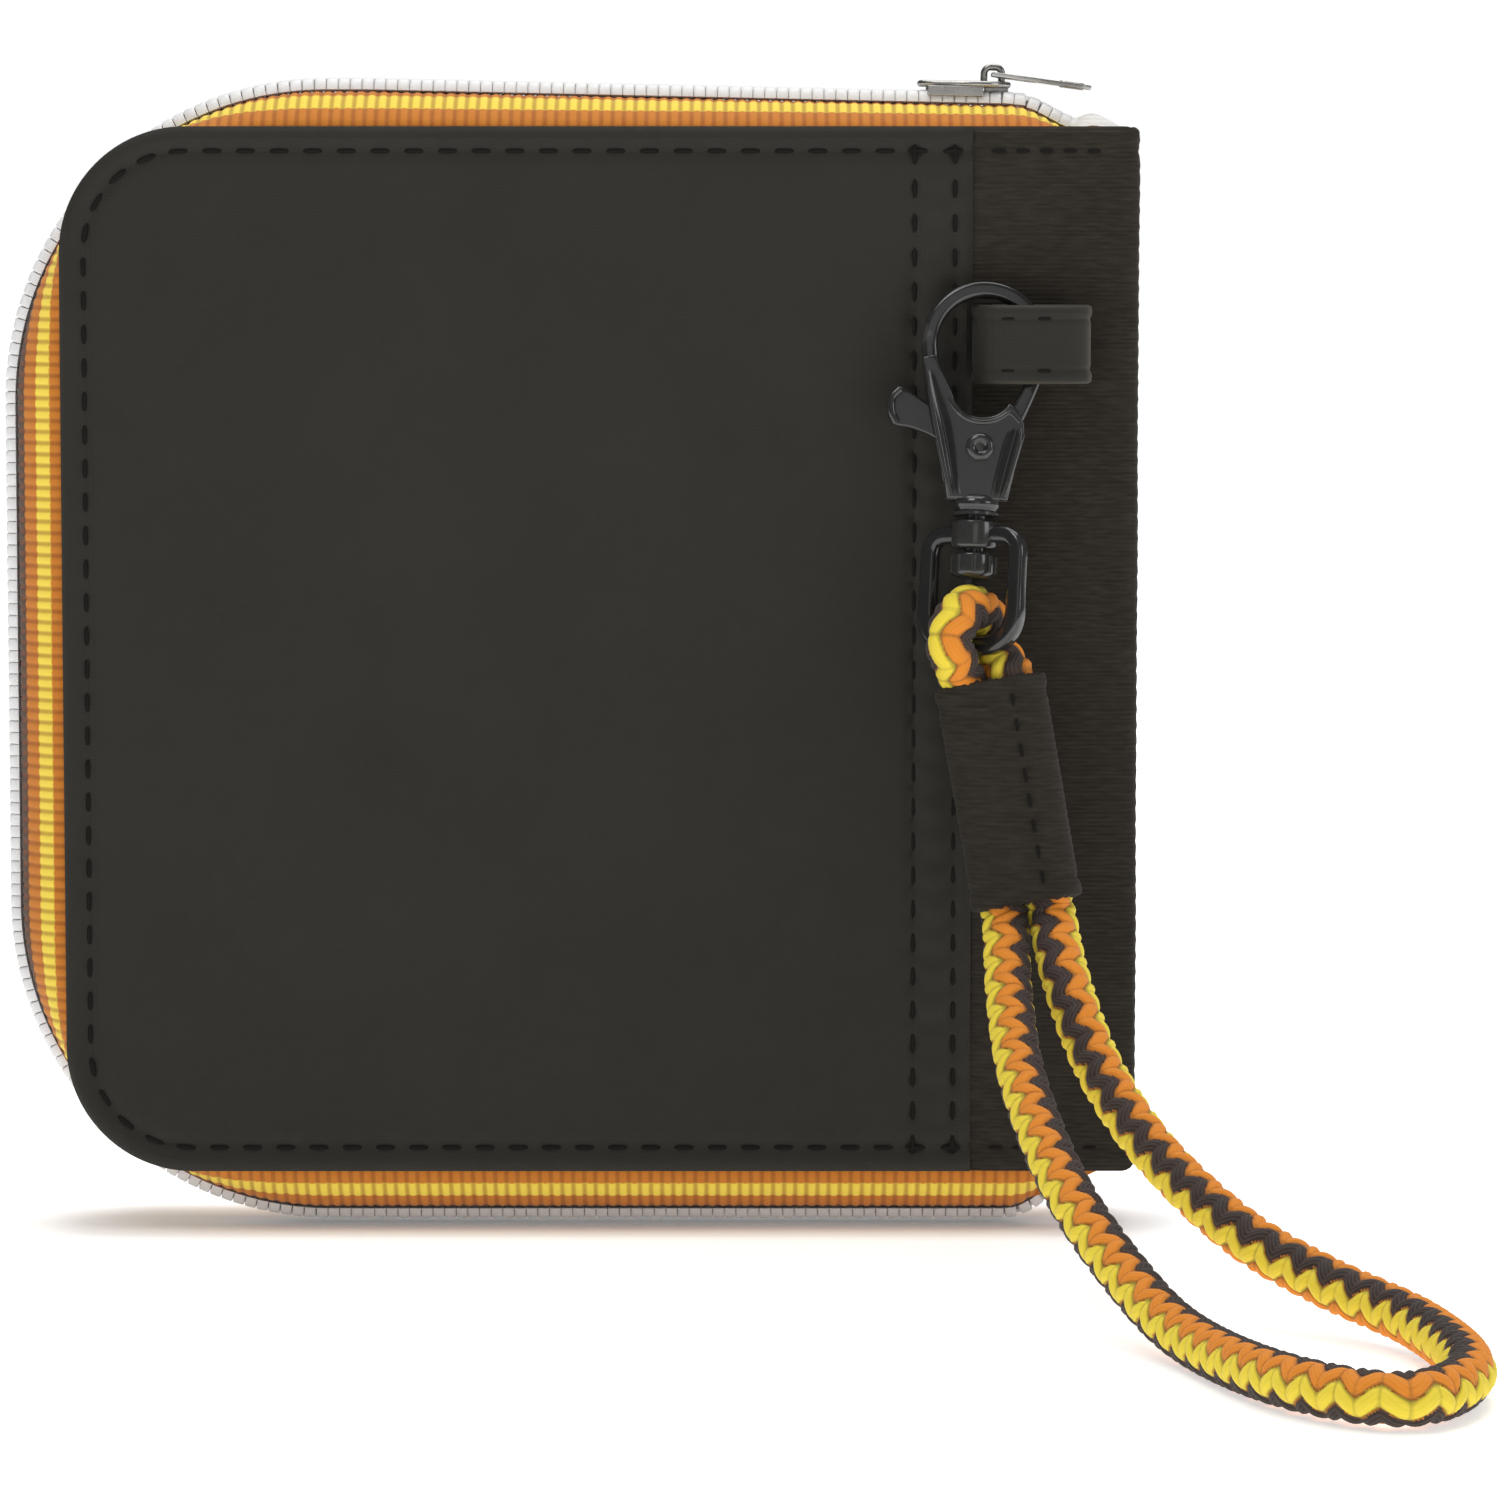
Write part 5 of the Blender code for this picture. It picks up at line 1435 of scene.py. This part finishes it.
def coin_pouch():
    """The coin pouch: two soft panels sewn at three edges, open between the zip tapes at the top."""
    low, high = node_box("coin_pouch")
    y = (low[1] + high[1]) / 2
    half_depth = (high[1] - low[1]) / 2
    xs = np.linspace(low[0], high[0], 90)
    zs = np.linspace(low[2], high[2], 84)
    x, z = np.meshgrid(xs, zs, indexing="ij")
    side = np.minimum(np.minimum(x - low[0], high[0] - x), z - low[2])
    fill = np.sqrt(np.clip(side / 9.0, 0, 1)) * (1 - 0.35 * smoothstep(z, high[2] - 14, high[2]))
    for name, sign, seed in (("front", -1, 1.0), ("rear", 1, 4.0)):
        bulge = half_depth * (0.28 + 0.70 * fill) + 0.12 * ripple(x, z, seed) * smoothstep(side, 2, 8)
        seam = 0.14 * bell(side, 1.7, 0.4)
        outer = np.stack([x, y + sign * (bulge - seam), z], -1)
        inner = np.stack([x, y + sign * (bulge * smoothstep(side, 0, 1.2) - 0.42), z], -1)
        inner[..., 1] = np.where(sign * (inner[..., 1] - y) < 0.03, y + sign * 0.03, inner[..., 1])
        piece("coin_panel_" + name, closed_slab(outer, inner), LINING, "spine", "lining", "coin_pouch")
        path = [(high[0] - 1.7, high[2] - 3), (high[0] - 1.7, low[2] + 1.7), (low[0] + 1.7, low[2] + 1.7)]
        path += [(low[0] + 1.7, high[2] - 3)]
        depth = half_depth * (0.28 + 0.70 * math.sqrt(1.7 / 9.0)) - 0.10
        row = stitches(at_depth(path, y + sign * depth), POCKET_STITCH, sign * Y, 2.2, 0.34, 0.26)
        piece("coin_panel_stitches_" + name, row, THREAD, "spine", "lining")
        coin_tape(name, sign, y)


def coin_tape(name, sign, y):
    """One of the coin pouch's zip tapes, with its teeth."""
    low, high = node_box("coin_zip_tape_" + name)
    top = high[2]
    upper = smooth_curve([(0.40, top - 0.2), (1.2, top - 0.16), (1.9, top - 0.3), (2.05, top - 1.2)], 4)
    lower = smooth_curve([(2.05, top - 1.2), (1.5, top - 3.0), (1.0, 40.0), (0.9, low[2])], 4)
    section = np.concatenate([upper[:-1], lower])
    xs = np.linspace(low[0], high[0], 180)
    ribs = 0.03 * np.sin(2 * math.pi * xs / 0.95)
    grid = np.array([[(px, y + sign * away, pz) for away, pz in section] for px in xs])
    normals = grid_normals(grid)
    slab = closed_slab(grid + normals * (0.16 + ribs)[:, None, None], grid - normals * 0.16)
    piece("coin_tape_" + name, slab, PLAIN_TAPE, "spine", "plain_tape", "coin_zip_tape_" + name)
    low, high = node_box("coin_zip_teeth_" + name)
    path = np.array([(low[0], low[2] - 0.35), (high[0], low[2] - 0.35)])
    size, pitch = 0.62, 0.84
    shift = 0.0 if name == "front" else pitch / 2
    coil("coin_coil_" + name, path, straight_up, y, sign, shift, "coin_zip_teeth_" + name, "spine", size, pitch)


def repaint(node, material):
    """Gives a CAD node that is shown as it is another material."""
    obj = frame["nodes"][node]
    obj.data.materials.clear()
    obj.data.materials.append(material)


# ---------------------------------------------------------------- stage

FLOOR_HALF = 6.0
LIGHTS_TARGET = (0.01, -0.011, 0.0)
CAMERA_PLACE = (0.016, -0.661, 0.046)
CAMERA_TARGET = (0.016, -0.022, -0.0104)
CAMERA_LENS = 143.9


def aimed(name, data, location, target):
    """An object for a light or a camera, turned to its target."""
    obj = shown(name, data)
    obj.location = location
    direction = Vector(target) - Vector(location)
    obj.rotation_euler = direction.to_track_quat("-Z", "Y").to_euler()
    return obj


def add_area(name, location, size, power):
    light = bpy.data.lights.new(name, "AREA")
    light.energy = power
    light.size = size
    aimed(name, light, location, LIGHTS_TARGET)


def pale_floor():
    """Pale, with a painted glow: it fades into the surround far off, and falls away near the wallet's footprint,
    which paints a dark contact shadow there.
    """
    n = Nodes("pale_floor")
    _, x, y, _ = n.position()
    far = n.math("MAXIMUM", n.math("ABSOLUTE", x), n.math("ABSOLUTE", y))
    aside = n.math("MAXIMUM", n.math("SUBTRACT", n.math("ABSOLUTE", x), 54.0), 0.0)
    deep = n.math("ADD", y, -MIDDLE)
    clear = n.math("SQRT", n.math("MULTIPLY_ADD", deep, deep, n.math("MULTIPLY", aside, aside)))
    # Painted light: the floor glows, more far off, and the glow drops near the wallet's footprint as a painted
    # shadow
    glow = n.math("ADD", n.spread(far, 160.0, 420.0, 0.0, 0.46), n.spread(clear, 3.0, 13.5, 0.08, 0.54))
    white = n.mix(n.noise(0.004, 2.0), (0.88, 0.88, 0.88), (0.91, 0.91, 0.91))
    return n.finish(white, 0.7, Emission_Color=(1.0, 1.0, 1.0, 1.0), Emission_Strength=glow)


def stage(floor_z):
    """A pale floor that runs into a white surround, with soft lights above, in front and at the sides."""
    mesh = bpy.data.meshes.new("floor")
    corners = [(x * FLOOR_HALF, y * FLOOR_HALF, floor_z) for x, y in ((-1, -1), (1, -1), (1, 1), (-1, 1))]
    mesh.from_pydata(corners, [], [(0, 1, 2, 3)])
    mesh.materials.append(pale_floor())
    shown("floor", mesh)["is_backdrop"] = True
    surround()
    bpy.context.scene.view_settings.view_transform = "Standard"
    add_area("key", (-0.25, -0.45, 0.70), 0.35, 1.7)
    add_area("side", (0.70, -0.45, 0.30), 0.30, 0.8)
    add_area("top", (0.05, 0.12, 0.80), 0.70, 4.6)
    add_area("rear", (0.1, 0.8, 0.5), 0.8, 1.6)
    add_area("card", (0.04, -1.44, 0.40), 0.55, 0.55)


def surround():
    """White to the camera, softer as a light, and dim in reflections so that the black metal stays black."""
    world = bpy.data.worlds.new("studio")
    world.use_nodes = True
    tree = world.node_tree
    background = tree.nodes["Background"]
    background.inputs["Color"].default_value = (1.0, 1.0, 1.0, 1.0)
    rays = tree.nodes.new("ShaderNodeLightPath")
    dimmed = tree.nodes.new("ShaderNodeMapRange")
    dimmed.inputs["To Min"].default_value = 0.30
    dimmed.inputs["To Max"].default_value = 0.10
    tree.links.new(rays.outputs["Is Glossy Ray"], dimmed.inputs["Value"])
    shown = tree.nodes.new("ShaderNodeMath")
    shown.operation = "MAXIMUM"
    tree.links.new(dimmed.outputs["Result"], shown.inputs[0])
    bright = tree.nodes.new("ShaderNodeMath")
    bright.operation = "MULTIPLY"
    bright.inputs[1].default_value = 1.02
    tree.links.new(rays.outputs["Is Camera Ray"], bright.inputs[0])
    tree.links.new(bright.outputs[0], shown.inputs[1])
    tree.links.new(shown.outputs[0], background.inputs["Strength"])
    bpy.context.scene.world = world


def camera():
    data = bpy.data.cameras.new("camera")
    data.sensor_width = 36.0
    data.lens = CAMERA_LENS
    data.clip_start, data.clip_end = 0.05, 20
    bpy.context.scene.camera = aimed("camera", data, CAMERA_PLACE, CAMERA_TARGET)


# ---------------------------------------------------------------- the wallet

for half in ("front", "back"):
    cover(half)
    spine_wrap(half)
    zip_tape(half)
    zip_teeth(half)
    lining(half)
    repaint(half + "_board", BOARD)
repaint("spine_board", BOARD)
repaint("spine_lining", LINING)
folds = joined([zip_end_fold(TOP - 0.6), zip_end_fold(BOTTOM + 0.6)])
piece("zip_end_folds", folds, PALE_TAPE, "back", "plain_tape")
zip_slider("zip_slider", "zip_slider_body", "zip_travel", "pull_swing", MAIN_SLIDER)
zip_pull("zip_slider_pull", "zip_pull_tab", "zip_pull", "zip_travel", "pull_swing", MAIN_SLIDER)
zip_slider("coin_slider", "coin_slider_body", "coin_zip_travel", "coin_pull_swing", COIN_SLIDER)
zip_pull("coin_slider_pull", "coin_pull_tab", "coin_pull", "coin_zip_travel", "coin_pull_swing", COIN_SLIDER)
tab_loop()
hook_body()
hook_gate()
gate_spring()
swivel_eye()
wrist_cord()
cord_sleeve()
pocket("bill_pocket", "back")
for number in range(1, 5):
    pocket(f"card_pocket_{number}", "back")
pocket("slip_pocket", "front")
coin_pouch()
camera()
stage(min(corner[2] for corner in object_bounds()) - 0.0002)
